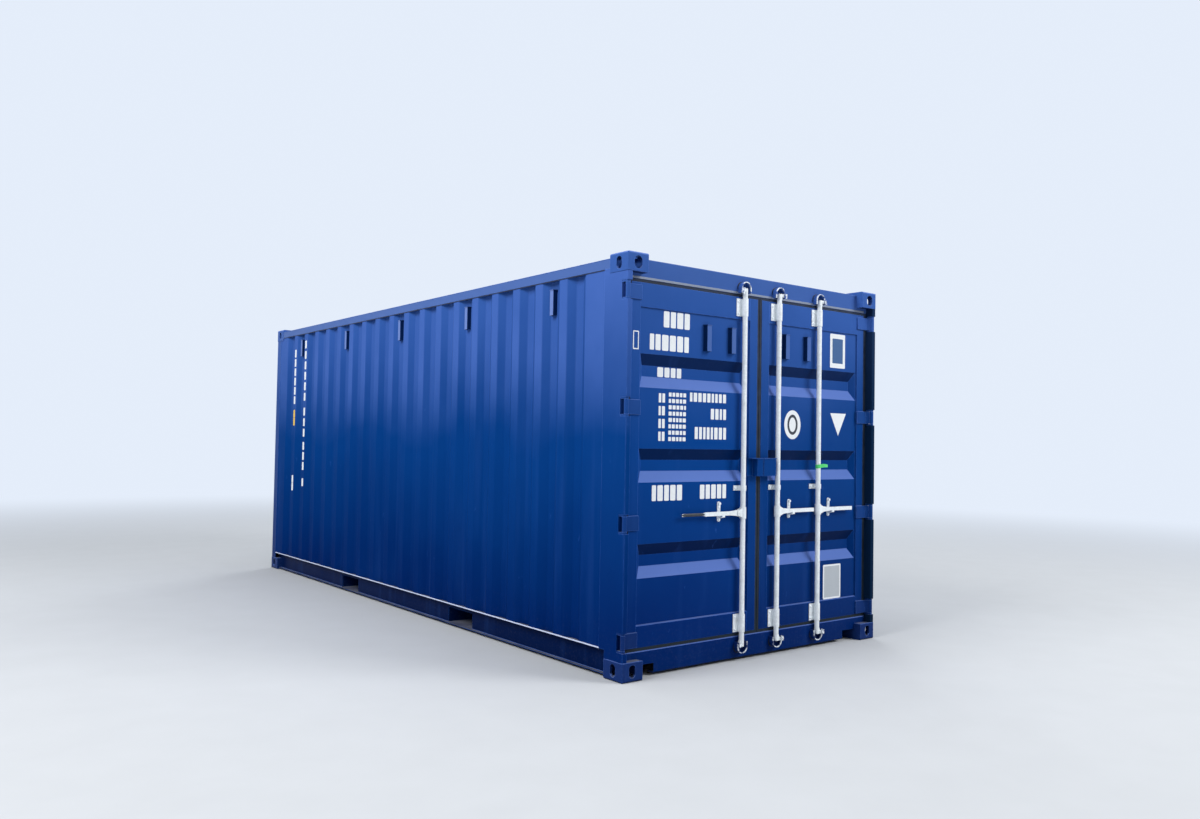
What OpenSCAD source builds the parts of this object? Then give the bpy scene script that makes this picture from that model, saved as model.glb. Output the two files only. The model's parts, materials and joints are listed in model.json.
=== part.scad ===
// Twenty-foot steel shipping container with two hinged doors and three lock rods.
// Millimetres, +Z up. The origin is the middle of the footprint, on the ground.
// The doors are at -Y, the blind end at +Y.

/* [Overall size] */
// Outside length, casting to casting
length = 6058; // [4200:1:7600]
// Outside width, casting to casting
width = 2438; // [2300:1:2600]
// Outside height, casting to casting
height = 2591; // [2500:1:2900]

/* [Corner castings] */
// Casting size along the container
casting_long = 178; // [170:1:190]
// Casting size across the container
casting_wide = 162; // [155:1:170]
// Casting height
casting_high = 118; // [112:1:124]
// Thickness of the plate that holds the twistlock hole
casting_plate = 28; // [22:0.5:30]
// Thickness of the casting's other walls
casting_wall = 13; // [10:0.5:16]
// Radius of the casting's outer edges
casting_round = 13; // [6:1:16]
// Length of the twistlock hole
twist_long = 124.5; // [115:0.5:128]
// Width of the twistlock hole, and of the end holes of the top castings
twist_wide = 63.5; // [58:0.5:68]
// Height of the side and end holes
side_hole_high = 79; // [70:0.5:79.5]
// Width of the side holes, and of the end holes of the bottom castings
side_hole_wide = 51; // [45:0.5:56]
// From the container's end to the middle of a twistlock hole
twist_from_end = 102.5; // [96:0.5:106]
// From the container's side to the middle of a twistlock hole
twist_from_side = 89.5; // [84:0.5:94]

/* [Frame] */
// Set-back of rails and posts from the casting faces
inset = 3; // [1:0.5:5]
// Width of a door post's side face
post_side = 232; // [200:1:260]
// Width of a blind end post's side face
blind_post_side = 112; // [90:1:170]
// Thickness of the pressed post steel
post_t = 6; // [4:0.5:8]
// Width of the door post's front lip
lip = 38; // [34:1:40]
// Thickness of the hot-rolled door post channel
channel_t = 12; // [10:0.5:14]
// Depth of the door post channel
channel_deep = 113; // [100:1:120]
// Width of the blind end post's end face
end_post_face = 96; // [80:1:120]
// Size of the square top rails
top_rail = 60; // [50:1:70]
// Wall of the top rails
top_rail_t = 3; // [2.5:0.5:5]
// Distance from the roof castings' top down to the top rails
top_rail_drop = 29; // [26:1:34]
// Lowest point of the base above the ground
base_gap = 17; // [12:1:24]
// Height of the bottom side rails
side_rail_high = 158; // [152:1:170]
// Thickness of the bottom rails
side_rail_t = 4.5; // [3:0.5:6]
// Width of the bottom side rail's top flange
side_rail_top = 50; // [46:1:56]
// Width of the bottom side rail's lower flange
side_rail_low = 32; // [24:1:40]

/* [Walls] */
// Thickness of the wall and roof sheets
sheet_t = 2; // [1.6:0.1:3]
// Depth of a side wall corrugation
wave_deep = 36; // [30:1:40]
// Width of a side wall corrugation's inner face
wave_floor = 70; // [60:1:80]
// Run of a side wall corrugation's slope
wave_slope = 68; // [55:1:72]
// Target pitch of the side wall corrugations
wave_pitch = 278; // [262:1:300]
// Flat left over at the ends of a side wall
wave_rest = 34; // [10:1:60]
// Bend radius of the pressed sheets
bend = 9; // [5:1:12]
// Depth of a blind end corrugation
end_wave_deep = 46; // [38:1:50]
// Run of a blind end corrugation's slope
end_wave_slope = 18; // [14:1:26]
// Target pitch of the blind end corrugations
end_wave_pitch = 250; // [220:1:280]
// Height of a roof corrugation
roof_wave_high = 20; // [12:1:22]
// Run of a roof corrugation's slope
roof_wave_slope = 14; // [10:1:20]
// Target pitch of the roof corrugations
roof_wave_pitch = 209; // [180:1:240]
// Width of the flat margin round the roof corrugations
roof_margin = 75; // [60:1:110]
// Thickness of the plates between the roof and its end rails
roof_plate_t = 3; // [2:0.5:5]

/* [Base] */
// Height of the cross members
cross_high = 122; // [110:1:130]
// Flange width of the cross members
cross_flange = 45; // [35:1:60]
// Thickness of the cross members
cross_t = 4; // [3:0.5:6]
// Cross members in each of the three bays beside the fork pockets
cross_count = 5; // [2:1:7]
// Distance between the two fork pockets
fork_spacing = 2050; // [1500:1:2200]
// Clear width of a fork pocket
fork_wide = 360; // [300:1:380]
// Thickness of the plate over a fork pocket
fork_plate = 3; // [2:0.5:6]
// Length of the plates under a fork pocket's mouths
fork_lip = 200; // [120:1:260]
// Thickness of the plywood floor
floor_t = 28; // [21:1:30]

/* [Door end] */
// Set-back of the door faces, header and sill from the end of the castings
door_set = 58; // [54:1:66]
// Depth of the header
header_deep = 110; // [90:1:130]
// From the container's top down to the doorway
header_drop = 151; // [148:1:170]
// Height of the sill top above the ground
sill_top = 165; // [160:1:175]
// Depth of the sill
sill_deep = 112; // [90:1:125]
// Depth of the sill's lower flange
sill_low = 56; // [40:1:80]
// Thickness of the sill and header steel
sill_t = 4.5; // [3:0.5:6]
// Width of the cut-outs at the sill's ends
notch_wide = 140; // [100:1:200]
// Height of the cut-outs at the sill's ends
notch_high = 62; // [40:1:80]

/* [Doors] */
// Thickness of a door leaf
leaf_t = 50; // [46:1:56]
// Width of a door's upright tubes
stile = 74; // [60:1:110]
// Wall of a door's tubes
stile_t = 3.5; // [2.5:0.5:5]
// Height of a door's top rail
door_rail_top = 150; // [130:1:170]
// Height of a door's bottom rail
door_rail_low = 130; // [110:1:150]
// Gap under and over a door leaf, filled by its gasket
leaf_gap = 20; // [14:0.5:24]
// From the middle of the doorway to a door leaf's steel edge
leaf_middle = 22; // [12:0.5:26]
// Gap between a door leaf and the jamb
leaf_jamb = 32; // [20:1:40]
// Step from a door's frame down to its panel
panel_step = 10; // [6:1:12]
// Depth of a door panel's recesses
recess_deep = 34; // [24:1:36]
// Run of a recess's slopes
recess_slope = 70; // [50:1:80]
// Width of a recess's floor
recess_floor = 70; // [50:1:90]
// Run of the slopes that close a recess's ends
recess_end = 42; // [34:1:60]
// Distance between recesses, as a share of the panel's height
recess_share = 0.3; // [0.26:0.005:0.32]
// Flat left at the ends of a recess
recess_margin = 8; // [6:1:20]
// Thickness of the door gaskets
gasket_t = 24; // [18:1:30]
// Clearance between a gasket's lip and what it seals
gasket_gap = 2; // [1:0.5:4]

/* [Hinges] */
// From the container's side to a hinge pin
pin_side = 20; // [19:0.5:22]
// From the container's end to a hinge pin
pin_end = 22; // [21:0.5:24]
// Radius of a hinge pin
pin_r = 8; // [6:0.5:9]
// Radius of a hinge knuckle
knuckle_r = 15; // [13:0.5:16]
// Reach of a hinge blade over its stile
blade_reach = 78; // [60:1:100]
// Height of a hinge blade
blade_high = 90; // [70:1:110]
// Thickness of a hinge blade
blade_t = 11; // [8:0.5:12]
// Thickness of a hinge lug
lug_t = 12; // [8:1:16]
// Clearance above and below a knuckle
knuckle_gap = 1.5; // [1:0.5:3]
// Height of the lowest hinge
hinge_low = 235; // [225:1:260]
// From the top of a door leaf down to its highest hinge
hinge_drop = 63; // [60:1:120]
// Radial clearance of pins and rods in their bearings
running_gap = 0.1; // [0.05:0.05:0.1]

/* [Lock gear] */
// Radius of a lock rod
rod_r = 17; // [15:0.5:18]
// From the container's end to a lock rod's axis
rod_end = 34; // [33:0.5:36]
// From the middle of the doorway to the inner lock rods
rod_inner = 170; // [165:1:190]
// From the middle of the doorway to the outer lock rod
rod_outer = 600; // [560:1:620]
// From the sill's top down to the lower cams
cam_under = 58; // [54:1:70]
// From the doorway's top up to the upper cams
cam_over = 26; // [24:1:40]
// Reach of a cam from its rod's axis
cam_reach = 36; // [33:1:40]
// Thickness of a cam
cam_t = 22; // [18:1:26]
// Clearance between a cam's tip and its keeper
keeper_gap = 3; // [2:0.5:4]
// Wall of a cam keeper's cup
keeper_t = 6; // [4:0.5:9]
// How far a cam keeper's cup stands in front of its rod's axis
keeper_front = 14; // [8:1:20]
// Height of the gusset between a cam and its rod
gusset_high = 26; // [16:1:32]
// Height of a rod bracket
bracket_high = 118; // [90:1:125]
// Reach of a rod bracket's plate to the left of its rod
bracket_wide = 60; // [50:1:80]
// Height of a rod guide
guide_high = 34; // [24:1:44]
// Height of the rod guides above the ground
guide_at = 1142; // [1120:1:1160]
// Height of the handles above the ground
handle_at = 978; // [950:1:1000]
// From the inner handle's end to the outer lock rod
handle_clear = 33; // [26:1:70]
// Length of the left door's handle from its rod's axis
long_handle = 550; // [450:1:600]
// From a rod's axis to the thin end of the left door's handle
handle_thin = 352; // [300:1:400]
// Width of a handle bar
handle_wide = 26; // [22:1:32]
// Thickness of a handle bar
handle_t = 14; // [10:1:16]
// Width of a handle's flared root
handle_root = 40; // [28:1:44]
// From a rod's axis to its handle's pivot
handle_pivot = 46; // [42:1:56]
// Radius of a handle's pivot pin
handle_pin_r = 5; // [4:0.5:6]
// From a rod's axis to its handle's catch
catch_at = 152; // [130:1:200]
// From the left door's rod axis to its handle's catch
long_catch_at = 195; // [150:1:240]
// Width of a handle catch
catch_wide = 28; // [22:1:34]
// Reach of a handle catch above the handle's axis
catch_above = 78; // [60:1:90]
// Reach of a handle catch below the handle's axis
catch_below = 54; // [40:1:70]
// Clearance between a handle and its catch
catch_gap = 5; // [4:0.5:8]
// Reach of the lock box over the right door
box_right = 123; // [90:1:125]
// Reach of the lock box over the left door
box_left = 60; // [50:1:80]
// Width of the plate that carries the lock box on the left door
box_plate = 56; // [40:1:60]
// Gap between the lock box's two halves
box_split = 8; // [6:0.5:12]
// Height of the lock box
box_high = 116; // [90:1:130]
// Height of the lock box's middle above the ground
box_at = 1279; // [1240:1:1320]
// Wall of the lock box
box_t = 5; // [3:0.5:8]
// How far the lock box's lid stands out all round
box_lid = 4; // [2:0.5:6]

/* [Vents] */
// Width of a vent hood
vent_wide = 54; // [44:1:56]
// Height of a vent hood
vent_high = 168; // [120:1:200]
// Depth of a vent hood
vent_deep = 30; // [20:1:33]
// Side wall corrugations from one vent to the next
vent_step = 4; // [3:1:5]
// Sheet of the vent hoods
vent_t = 2; // [1.5:0.5:3]
// How far a vent's cap stands out at its sides
vent_cap = 5; // [3:1:6]
// From the top rail down to the side vents
side_vent_drop = 62; // [30:1:120]
// From the middle of the doorway to a leaf's inner vent
vent_inner = 268; // [240:1:300]
// From the middle of the doorway to a leaf's outer vent
vent_outer = 494; // [420:1:540]
// From a door panel's top edge down to its vents
door_vent_drop = 69; // [20:1:80]

/* [Hidden] */
$fn = 48;
overlap = 1;
bend_steps = 2;
half_w = width / 2;
half_l = length / 2;
blue = "#1f4fa3";
galvanised = "#c9ccd0";
rubber = "#3a3733";
plywood = "#a9855a";

// Faces shared by several pieces
post_face = half_w - inset;
wall_out = post_face - 3;
wall_from = -half_l + post_side;
wall_to = half_l - blind_post_side;
rail_end = half_l - casting_long;
roof_rail_top = height - top_rail_drop;
roof_rail_low = roof_rail_top - top_rail;
side_rail_z = base_gap + side_rail_high;
side_rail_web = wall_out + 2 - side_rail_top;
cross_top = base_gap + cross_high;
floor_top = cross_top + floor_t;
door_face = -half_l + door_set;
header_low = height - header_drop;
jamb = half_w - inset - lip - 5;
pin_x = half_w - pin_side;
pin_y = -half_l + pin_end;
leaf_low = sill_top + leaf_gap;
leaf_top = header_low - leaf_gap;
leaf_side = jamb - leaf_jamb;
panel_face = door_face + panel_step;
panel_low = leaf_low + door_rail_low;
panel_top = leaf_top - door_rail_top;
panel_in = leaf_middle + stile;
panel_out = leaf_side - stile;
channel_y = -half_l + door_set + 2;
rod_y = -half_l + rod_end;
hinge_step = (leaf_top - hinge_drop - hinge_low) / 3;
hinge_z = [for (i = [0:3]) hinge_low + i * hinge_step];
knuckle_high = blade_high;
hinge_cut = knuckle_high + 2 * (knuckle_gap + lug_t);
end_wall_out = half_l - 6;
handle_long = rod_outer - rod_inner - rod_r - handle_clear;
cam_low = sill_top - cam_under;
cam_high = header_low + cam_over;
blind_web = half_l - inset - side_rail_top - 6;
end_wall_edge = post_face - end_post_face;

// The side walls' corrugations: an inward one at their middle, and the same number each way
wall_middle = (wall_from + wall_to) / 2;
wall_waves = 2 * round((wall_to - wall_from) / 2 / wave_pitch);
pitch = (wall_to - wall_from - wave_rest) / wall_waves;
waves_each_way = wall_waves / 2 - 1;
wave_at = [for (i = [-waves_each_way:waves_each_way]) wall_middle + i * pitch];
vent_at = [for (i = [-waves_each_way:waves_each_way]) if (i % vent_step == 0) wall_middle + i * pitch];

function turn(v, a) = [v[0] * cos(a) - v[1] * sin(a), v[0] * sin(a) + v[1] * cos(a)];
function heading(a, b) = (b - a) / norm(b - a);
function left_of(d) = [-d[1], d[0]];
function cross2(a, b) = a[0] * b[1] - a[1] * b[0];

// The arc that rounds the corner b of the path a, b, c
function corner_arc(a, b, c, r) =
    let (
        d0 = heading(a, b),
        d1 = heading(b, c),
        swing = atan2(cross2(d0, d1), d0 * d1),
        run = r * tan(abs(swing) / 2),
        start = b - d0 * run,
        hub = start + left_of(d0) * r * sign(swing)
    )
    [for (i = [0:bend_steps]) hub + turn(start - hub, swing * i / bend_steps)];

// A path with every inner corner rounded
function rounded(p, r) = [
    p[0],
    for (i = [1:len(p) - 2]) each corner_arc(p[i - 1], p[i], p[i + 1], r),
    p[len(p) - 1]
];

// A path moved s to its left, mitred at the corners
function moved(p, s) = [
    for (i = [0:len(p) - 1])
        let (
            d0 = i > 0 ? heading(p[i - 1], p[i]) : heading(p[0], p[1]),
            d1 = i < len(p) - 1 ? heading(p[i], p[i + 1]) : d0,
            m = left_of(d0) + left_of(d1)
        )
        p[i] + m * (2 * s / (m * m))
];
function reversed(p) = [for (i = [len(p) - 1:-1:0]) p[i]];

// The outline of a sheet folded along a path, t thick on the path's left
function folded(p, t, r) =
    let (q = rounded(p, r))
    concat(q, reversed(moved(q, t)));

// One trapezoid wave: out at the ends, in along its floor
function wave(at, floor, slope, out, in) = [
    [at - floor / 2 - slope, out], [at - floor / 2, in],
    [at + floor / 2, in], [at + floor / 2 + slope, out]
];

// Copies its children to the other side of the container
module both_sides() {
    children();
    mirror([1, 0, 0]) children();
}

module both_ends() {
    children();
    mirror([0, 1, 0]) children();
}

// A block from one corner to the other
module block(low, high) {
    translate(low) cube(high - low);
}

// A slot-shaped hole along Z, as long as w along X and h along Y
module slot(w, h, deep) {
    r = min(w, h) / 2;
    long = max(w, h) / 2 - r;
    turned = h > w ? 90 : 0;
    rotate(turned) {
        block([-long, -r, 0], [long, r, deep]);
        for (x = [-long, long]) translate([x, 0, 0]) cylinder(r = r, h = deep);
    }
}

// An extrusion along Y of an outline drawn in X and Z, from y0 to y1
module along_y(y0, y1) {
    translate([0, y1, 0]) rotate([90, 0, 0]) linear_extrude(y1 - y0) children();
}

// An extrusion along X of an outline drawn in Y and Z, from x0 to x1
module along_x(x0, x1) {
    translate([x0, 0, 0]) rotate([90, 0, 90]) linear_extrude(x1 - x0) children();
}

function rounded_corner(w, h, r) = [
    for (i = [0:4]) [r, r] + turn([-r, 0], i * 90 / 4), [w, 0], [w, h], [0, h]
];

// A corner casting with its outer corner at the origin and its twistlock hole facing down
module casting(end_hole) {
    side_z = casting_high - casting_wall - side_hole_high / 2 - 2;
    difference() {
        intersection() {
            linear_extrude(casting_high) polygon(rounded_corner(casting_wide, casting_long, casting_round));
            along_y(0, casting_long) polygon(rounded_corner(casting_wide, casting_high, casting_round));
            along_x(0, casting_wide) polygon(rounded_corner(casting_long, casting_high, casting_round));
        }
        block(
            [casting_wall + 3, casting_wall + 3, casting_plate],
            [casting_wide - casting_wall, casting_long - casting_wall, casting_high - casting_wall]
        );
        translate([twist_from_side, twist_from_end, -overlap])
            slot(twist_wide, twist_long, casting_plate + 2 * overlap);
        translate([-overlap, casting_long / 2, side_z]) rotate([90, 0, 90])
            slot(side_hole_wide, side_hole_high, casting_wall + 3 + 2 * overlap);
        translate([casting_wide / 2, casting_wall + 3 + overlap, side_z]) rotate([90, 0, 0])
            slot(end_hole, side_hole_high, casting_wall + 3 + 2 * overlap);
    }
}

module top_corner_castings() {
    color(blue) both_sides() both_ends()
        translate([-half_w, -half_l, height]) mirror([0, 0, 1]) casting(twist_wide);
}

module bottom_corner_castings() {
    color(blue) both_sides() both_ends() translate([-half_w, -half_l, 0]) casting(side_hole_wide);
}

// The right door post in plan: a pressed lip round the hinge pocket, and a rolled channel as the jamb
module door_post_section() {
    lip_in = post_face - lip;
    front = -half_l + inset;
    lip_path = [[post_face, -rail_end], [post_face, front], [lip_in, front], [lip_in, channel_y]];
    polygon(folded(lip_path, -post_t, post_t));
    polygon([
        [post_face - post_t, channel_y], [jamb, channel_y], [jamb, channel_y + channel_deep],
        [post_face - post_t, channel_y + channel_deep],
        [post_face - post_t, channel_y + channel_deep - channel_t],
        [jamb + channel_t, channel_y + channel_deep - channel_t],
        [jamb + channel_t, channel_y + channel_t], [post_face - post_t, channel_y + channel_t]
    ]);
}

module door_corner_posts() {
    color(blue) both_sides() {
        difference() {
            translate([0, 0, casting_high]) linear_extrude(height - 2 * casting_high) door_post_section();
            for (z = hinge_z)
                block(
                    [jamb - overlap, -half_l, z - hinge_cut / 2],
                    [half_w, channel_y, z + hinge_cut / 2]
                );
        }
        // The side face runs on past the castings, between the two side rails
        block([post_face - post_t, -rail_end, side_rail_z], [post_face, wall_from, roof_rail_low]);
    }
}

module blind_corner_posts() {
    back = half_l - inset;
    section = [[post_face, wall_to], [post_face, back], [end_wall_edge, back]];
    color(blue) both_sides() translate([0, 0, casting_high]) linear_extrude(height - 2 * casting_high)
        polygon(folded(section, post_t, post_t + 4));
}

// A square tube's section with rounded edges, its low corner at the origin
module tube_section(w, h, t) {
    difference() {
        square([w, h]);
        translate([t, t]) square([w - 2 * t, h - 2 * t]);
    }
}

module top_side_rails() {
    color(blue) both_sides() translate([post_face - top_rail, 0, roof_rail_low])
        along_y(-rail_end, rail_end) tube_section(top_rail, top_rail, top_rail_t);
}

module blind_top_rail() {
    x = half_w - casting_wide;
    color(blue) translate([0, half_l - inset - top_rail, roof_rail_low])
        along_x(-x, x) tube_section(top_rail, top_rail, top_rail_t);
}

// Cuts its children back from the corner castings
module clear_of_castings() {
    difference() {
        children();
        both_sides() both_ends() for (z = [0, height - casting_high]) block(
            [half_w - casting_wide, rail_end, z],
            [half_w, half_l, z + casting_high]
        );
    }
}

module door_header() {
    color(blue) clear_of_castings() translate([0, door_face, header_low])
        along_x(-jamb, jamb) tube_section(header_deep, roof_rail_top - header_low, sill_t);
}

// A channel that opens outwards, drawn in X and Z
function rail_path(web, out_top, out_low) = [
    [out_top, side_rail_z], [web, side_rail_z], [web, base_gap], [out_low, base_gap]
];

module bottom_side_rails() {
    path = rail_path(side_rail_web, side_rail_web + side_rail_top, side_rail_web + side_rail_low);
    fork_low = base_gap + side_rail_t;
    fork_top = cross_top - fork_plate;
    color(blue) both_sides() difference() {
        clear_of_castings() along_y(-rail_end, wall_to)
            polygon(folded(path, side_rail_t, side_rail_t + 2));
        both_ends() block(
            [side_rail_web - overlap, (fork_spacing - fork_wide) / 2, fork_low],
            [side_rail_web + side_rail_t + 6, (fork_spacing + fork_wide) / 2, fork_top]
        );
    }
}

module blind_bottom_rail() {
    path = rail_path(blind_web, half_l - inset, blind_web + side_rail_low);
    color(blue) clear_of_castings() along_x(-end_wall_edge, end_wall_edge)
        polygon(folded(path, side_rail_t, side_rail_t + 2));
}

module door_sill() {
    x = half_w - casting_wide;
    back = door_face + sill_deep;
    low = base_gap;
    path = [[back, sill_top], [door_face, sill_top], [door_face, low], [door_face + sill_low, low]];
    color(blue) difference() {
        clear_of_castings() along_x(-jamb, jamb) polygon(folded(path, sill_t, sill_t + 3));
        both_sides() block(
            [x - notch_wide, door_face - overlap, low - overlap],
            [x + overlap, back, low + notch_high]
        );
    }
}

// A channel across the base at y, its flanges towards +Y
module cross_member(y) {
    path = [
        [y + cross_flange, cross_top], [y, cross_top], [y, base_gap], [y + cross_flange, base_gap]
    ];
    along_x(-side_rail_web, side_rail_web) polygon(folded(path, cross_t, cross_t + 2));
}

module cross_members() {
    fork_out = (fork_spacing + fork_wide) / 2 + cross_flange;
    fork_in = (fork_spacing - fork_wide) / 2 - cross_flange;
    bay = (-door_face - sill_deep - fork_out) / (cross_count + 1);
    middle_bay = 2 * fork_in / (cross_count + 1);
    color(blue) {
        both_ends() for (i = [1:cross_count]) cross_member(fork_out + i * bay - cross_flange / 2);
        for (i = [1:cross_count]) cross_member(-fork_in + i * middle_bay - cross_flange / 2);
    }
}

module fork_pockets() {
    near = (fork_spacing - fork_wide) / 2;
    far = (fork_spacing + fork_wide) / 2;
    color(blue) both_ends() {
        cross_member(far);
        translate([0, 2 * near, 0]) mirror([0, 1, 0]) cross_member(near);
        block([-side_rail_web, near, cross_top - fork_plate], [side_rail_web, far, cross_top]);
        both_sides() block(
            [side_rail_web - fork_lip, near, base_gap],
            [side_rail_web, far, base_gap + side_rail_t]
        );
    }
}

module floor_boards() {
    color(plywood) block(
        [-side_rail_web, door_face + sill_deep, cross_top],
        [side_rail_web, blind_web, floor_top]
    );
}

// The right wall in plan
module side_wall_section() {
    waves = [
        [wall_from, 0],
        for (y = wave_at) each wave(y, wave_floor, wave_slope, 0, wave_deep),
        [wall_to, 0]
    ];
    outline = [for (p = folded(waves, sheet_t, bend)) [wall_out - p[1], p[0]]];
    polygon(outline);
}

module right_side_wall() {
    color(blue) clear_of_castings() translate([0, 0, side_rail_z])
        linear_extrude(roof_rail_low - side_rail_z) side_wall_section();
}

module left_side_wall() {
    mirror([1, 0, 0]) right_side_wall();
}

module blind_end_wall() {
    count = 2 * round(end_wall_edge / end_wave_pitch);
    step = 2 * end_wall_edge / count;
    floor = step / 2 - end_wave_slope;
    waves = [
        [-end_wall_edge, 0],
        for (i = [0:count - 1])
            each wave(-end_wall_edge + (i + 0.5) * step, floor, end_wave_slope, 0, -end_wave_deep),
        [end_wall_edge, 0]
    ];
    outline = [for (p = folded(waves, -sheet_t, bend)) [p[0], p[1] + end_wall_out]];
    color(blue) clear_of_castings() translate([0, 0, side_rail_z])
        linear_extrude(roof_rail_low - side_rail_z) polygon(outline);
}

// A flat sheet from -w to w and -l to l with ribs pressed up out of it. The ribs' profile is drawn
// along Y, and the slopes that close their ends are drawn along X.
module pressed_sheet(w, l, ribs, ends, t) {
    low = -3 * t;
    high = max([for (p = ribs) p[1]]) + overlap;
    module under(path, across) {
        outline = concat(path, [[path[len(path) - 1][0], low], [path[0][0], low]]);
        if (across) along_y(-l - overlap, l + overlap) polygon(outline);
        else along_x(-w - overlap, w + overlap) polygon(outline);
    }
    difference() {
        intersection() {
            under(ribs, false);
            under(ends, true);
            block([-w, -l, low], [w, l, high]);
        }
        intersection() {
            under(moved(ribs, -t), false);
            under(moved(ends, -t), true);
        }
        block([-w - overlap, -l - overlap, low - overlap], [w + overlap, l + overlap, -t]);
    }
}

module roof() {
    w = post_face;
    l = rail_end;
    count = round((2 * l - 2 * roof_margin) / roof_wave_pitch);
    step = (2 * l - 2 * roof_margin) / count;
    crest = step / 2 - roof_wave_slope;
    ribs = [
        [-l - 2 * overlap, 0],
        for (i = [0:count - 1])
            each wave(-l + roof_margin + (i + 0.5) * step, crest, roof_wave_slope, 0, roof_wave_high),
        [l + 2 * overlap, 0]
    ];
    slope = 3 * roof_wave_high;
    edge = w - roof_margin;
    ends = [
        [-w - 2 * overlap, 0], [-edge, 0], [-edge + slope, roof_wave_high],
        [edge - slope, roof_wave_high], [edge, 0], [w + 2 * overlap, 0]
    ];
    color(blue) translate([0, 0, roof_rail_top + sheet_t])
        pressed_sheet(w, l, ribs, ends, sheet_t);
}

module roof_end_plates() {
    x = half_w - casting_wide;
    top = roof_rail_top + roof_plate_t;
    color(blue) {
        block([-x, door_face, roof_rail_top], [x, -rail_end, top]);
        block([-x, rail_end, roof_rail_top], [x, half_l - inset, top]);
    }
}

// A pressed hood, open at the bottom, on the plane y = 0 and standing out towards -Y
module vent_hood(top) {
    side = vent_wide / 2;
    lean = 7;
    back = lean / vent_deep * overlap;
    path = [
        [-side - back, overlap], [-side + lean, -vent_deep],
        [side - lean, -vent_deep], [side + back, overlap]
    ];
    cap_side = side + vent_cap;
    cap = [
        [-cap_side, 0], [-cap_side, -vent_deep / 2], [-side + lean, -vent_deep - 3],
        [side - lean, -vent_deep - 3], [cap_side, -vent_deep / 2], [cap_side, 0]
    ];
    translate([0, 0, top - vent_high]) linear_extrude(vent_high) intersection() {
        polygon(folded(path, vent_t, 2 * vent_t));
        translate([-cap_side, -2 * vent_deep]) square([2 * cap_side, 2 * vent_deep]);
    }
    translate([0, 0, top]) linear_extrude(2 * vent_t) polygon(cap);
}

module side_vents() {
    face = wall_out - wave_deep;
    color(blue) both_sides() for (y = vent_at)
        translate([face, y, 0]) rotate([0, 0, 90]) vent_hood(roof_rail_low - side_vent_drop);
}

// A hinge lug in plan, round the right-hand pin and back to the post channel
module lug_section() {
    difference() {
        union() {
            translate([pin_x, pin_y]) circle(knuckle_r);
            translate([pin_x - knuckle_r, pin_y]) square([2 * knuckle_r, channel_y - pin_y]);
        }
        translate([pin_x, pin_y]) circle(pin_r + running_gap);
    }
}

module frame_hinges() {
    lift = knuckle_high / 2 + knuckle_gap;
    color(blue) both_sides() for (z = hinge_z) {
        for (end = [lift, -lift - lug_t])
            translate([0, 0, z + end]) linear_extrude(lug_t) lug_section();
        translate([pin_x, pin_y, z - hinge_cut / 2]) cylinder(r = pin_r, h = hinge_cut);
    }
}

// A keeper for a cam that points along +X: a cup over the rod's end, open below, on the face at y.
// The rod's axis is at the origin, and the lug that reaches in front of the cam holds it in.
module keeper(face) {
    in = cam_reach + keeper_gap;
    out = in + keeper_t;
    rise = cam_t / 2;
    skirt = cam_t / 2 + 8;
    plate = 4;
    front = -rod_end + inset;
    lug_in = cam_reach - 4;
    lug_back = front + 9;
    // The cup's outline, r wide on each side
    module arch(r) {
        intersection() {
            union() {
                translate([0, rise]) circle(r);
                translate([-r, -skirt]) square([2 * r, skirt + rise]);
            }
            translate([-r, -skirt]) square([2 * r, skirt + rise + r]);
        }
    }
    rotate([90, 0, 0]) translate([0, 0, -face]) {
        linear_extrude(face + keeper_front) difference() {
            arch(out);
            arch(in);
            translate([-in, -skirt - overlap]) square([2 * in, skirt]);
        }
        linear_extrude(plate) arch(out - keeper_t / 2);
    }
    translate([0, 0, -skirt]) linear_extrude(skirt + cam_t / 2) polygon([
        [lug_in, front], [out, front], [out, 0], [in, 0], [in, lug_back + 5], [lug_in, lug_back]
    ]);
}

module upper_keepers() {
    face = door_face - rod_y;
    on_left() translate([rod_inner, 0, 0]) keeper(face);
    for (x = [rod_inner, rod_outer]) translate([x, 0, 0]) keeper(face);
}

module cam_keepers() {
    color(blue) {
        translate([0, rod_y, cam_high]) upper_keepers();
        translate([0, rod_y, cam_low]) mirror([0, 0, 1]) upper_keepers();
    }
}

// The right door's parts, all drawn on the +X side
module door_stiles() {
    color(blue) for (x = [leaf_middle, leaf_side - stile])
        translate([x, door_face, leaf_low]) linear_extrude(leaf_top - leaf_low)
            tube_section(stile, leaf_t, stile_t);
}

module door_rails() {
    color(blue) {
        translate([0, door_face, panel_top]) along_x(panel_in, panel_out)
            tube_section(leaf_t, door_rail_top, stile_t);
        translate([0, door_face, leaf_low]) along_x(panel_in, panel_out)
            tube_section(leaf_t, door_rail_low, stile_t);
    }
}

module door_panel() {
    half_x = (panel_out - panel_in) / 2;
    half_z = (panel_top - panel_low) / 2;
    middle_z = (panel_top + panel_low) / 2;
    recesses = [
        [-half_z - 2 * overlap, 0],
        for (i = [-1:1])
            each wave(i * recess_share * 2 * half_z, recess_floor, recess_slope, 0, recess_deep),
        [half_z + 2 * overlap, 0]
    ];
    edge = half_x - recess_margin;
    ends = [
        [-half_x - 2 * overlap, 0], [-edge, 0], [-edge + recess_end, recess_deep],
        [edge - recess_end, recess_deep], [edge, 0], [half_x + 2 * overlap, 0]
    ];
    color(blue) translate([(panel_in + panel_out) / 2, panel_face + sheet_t, middle_z])
        mirror([0, 1, 0]) rotate([90, 0, 0]) pressed_sheet(half_x, half_z, recesses, ends, sheet_t);
}

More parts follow.
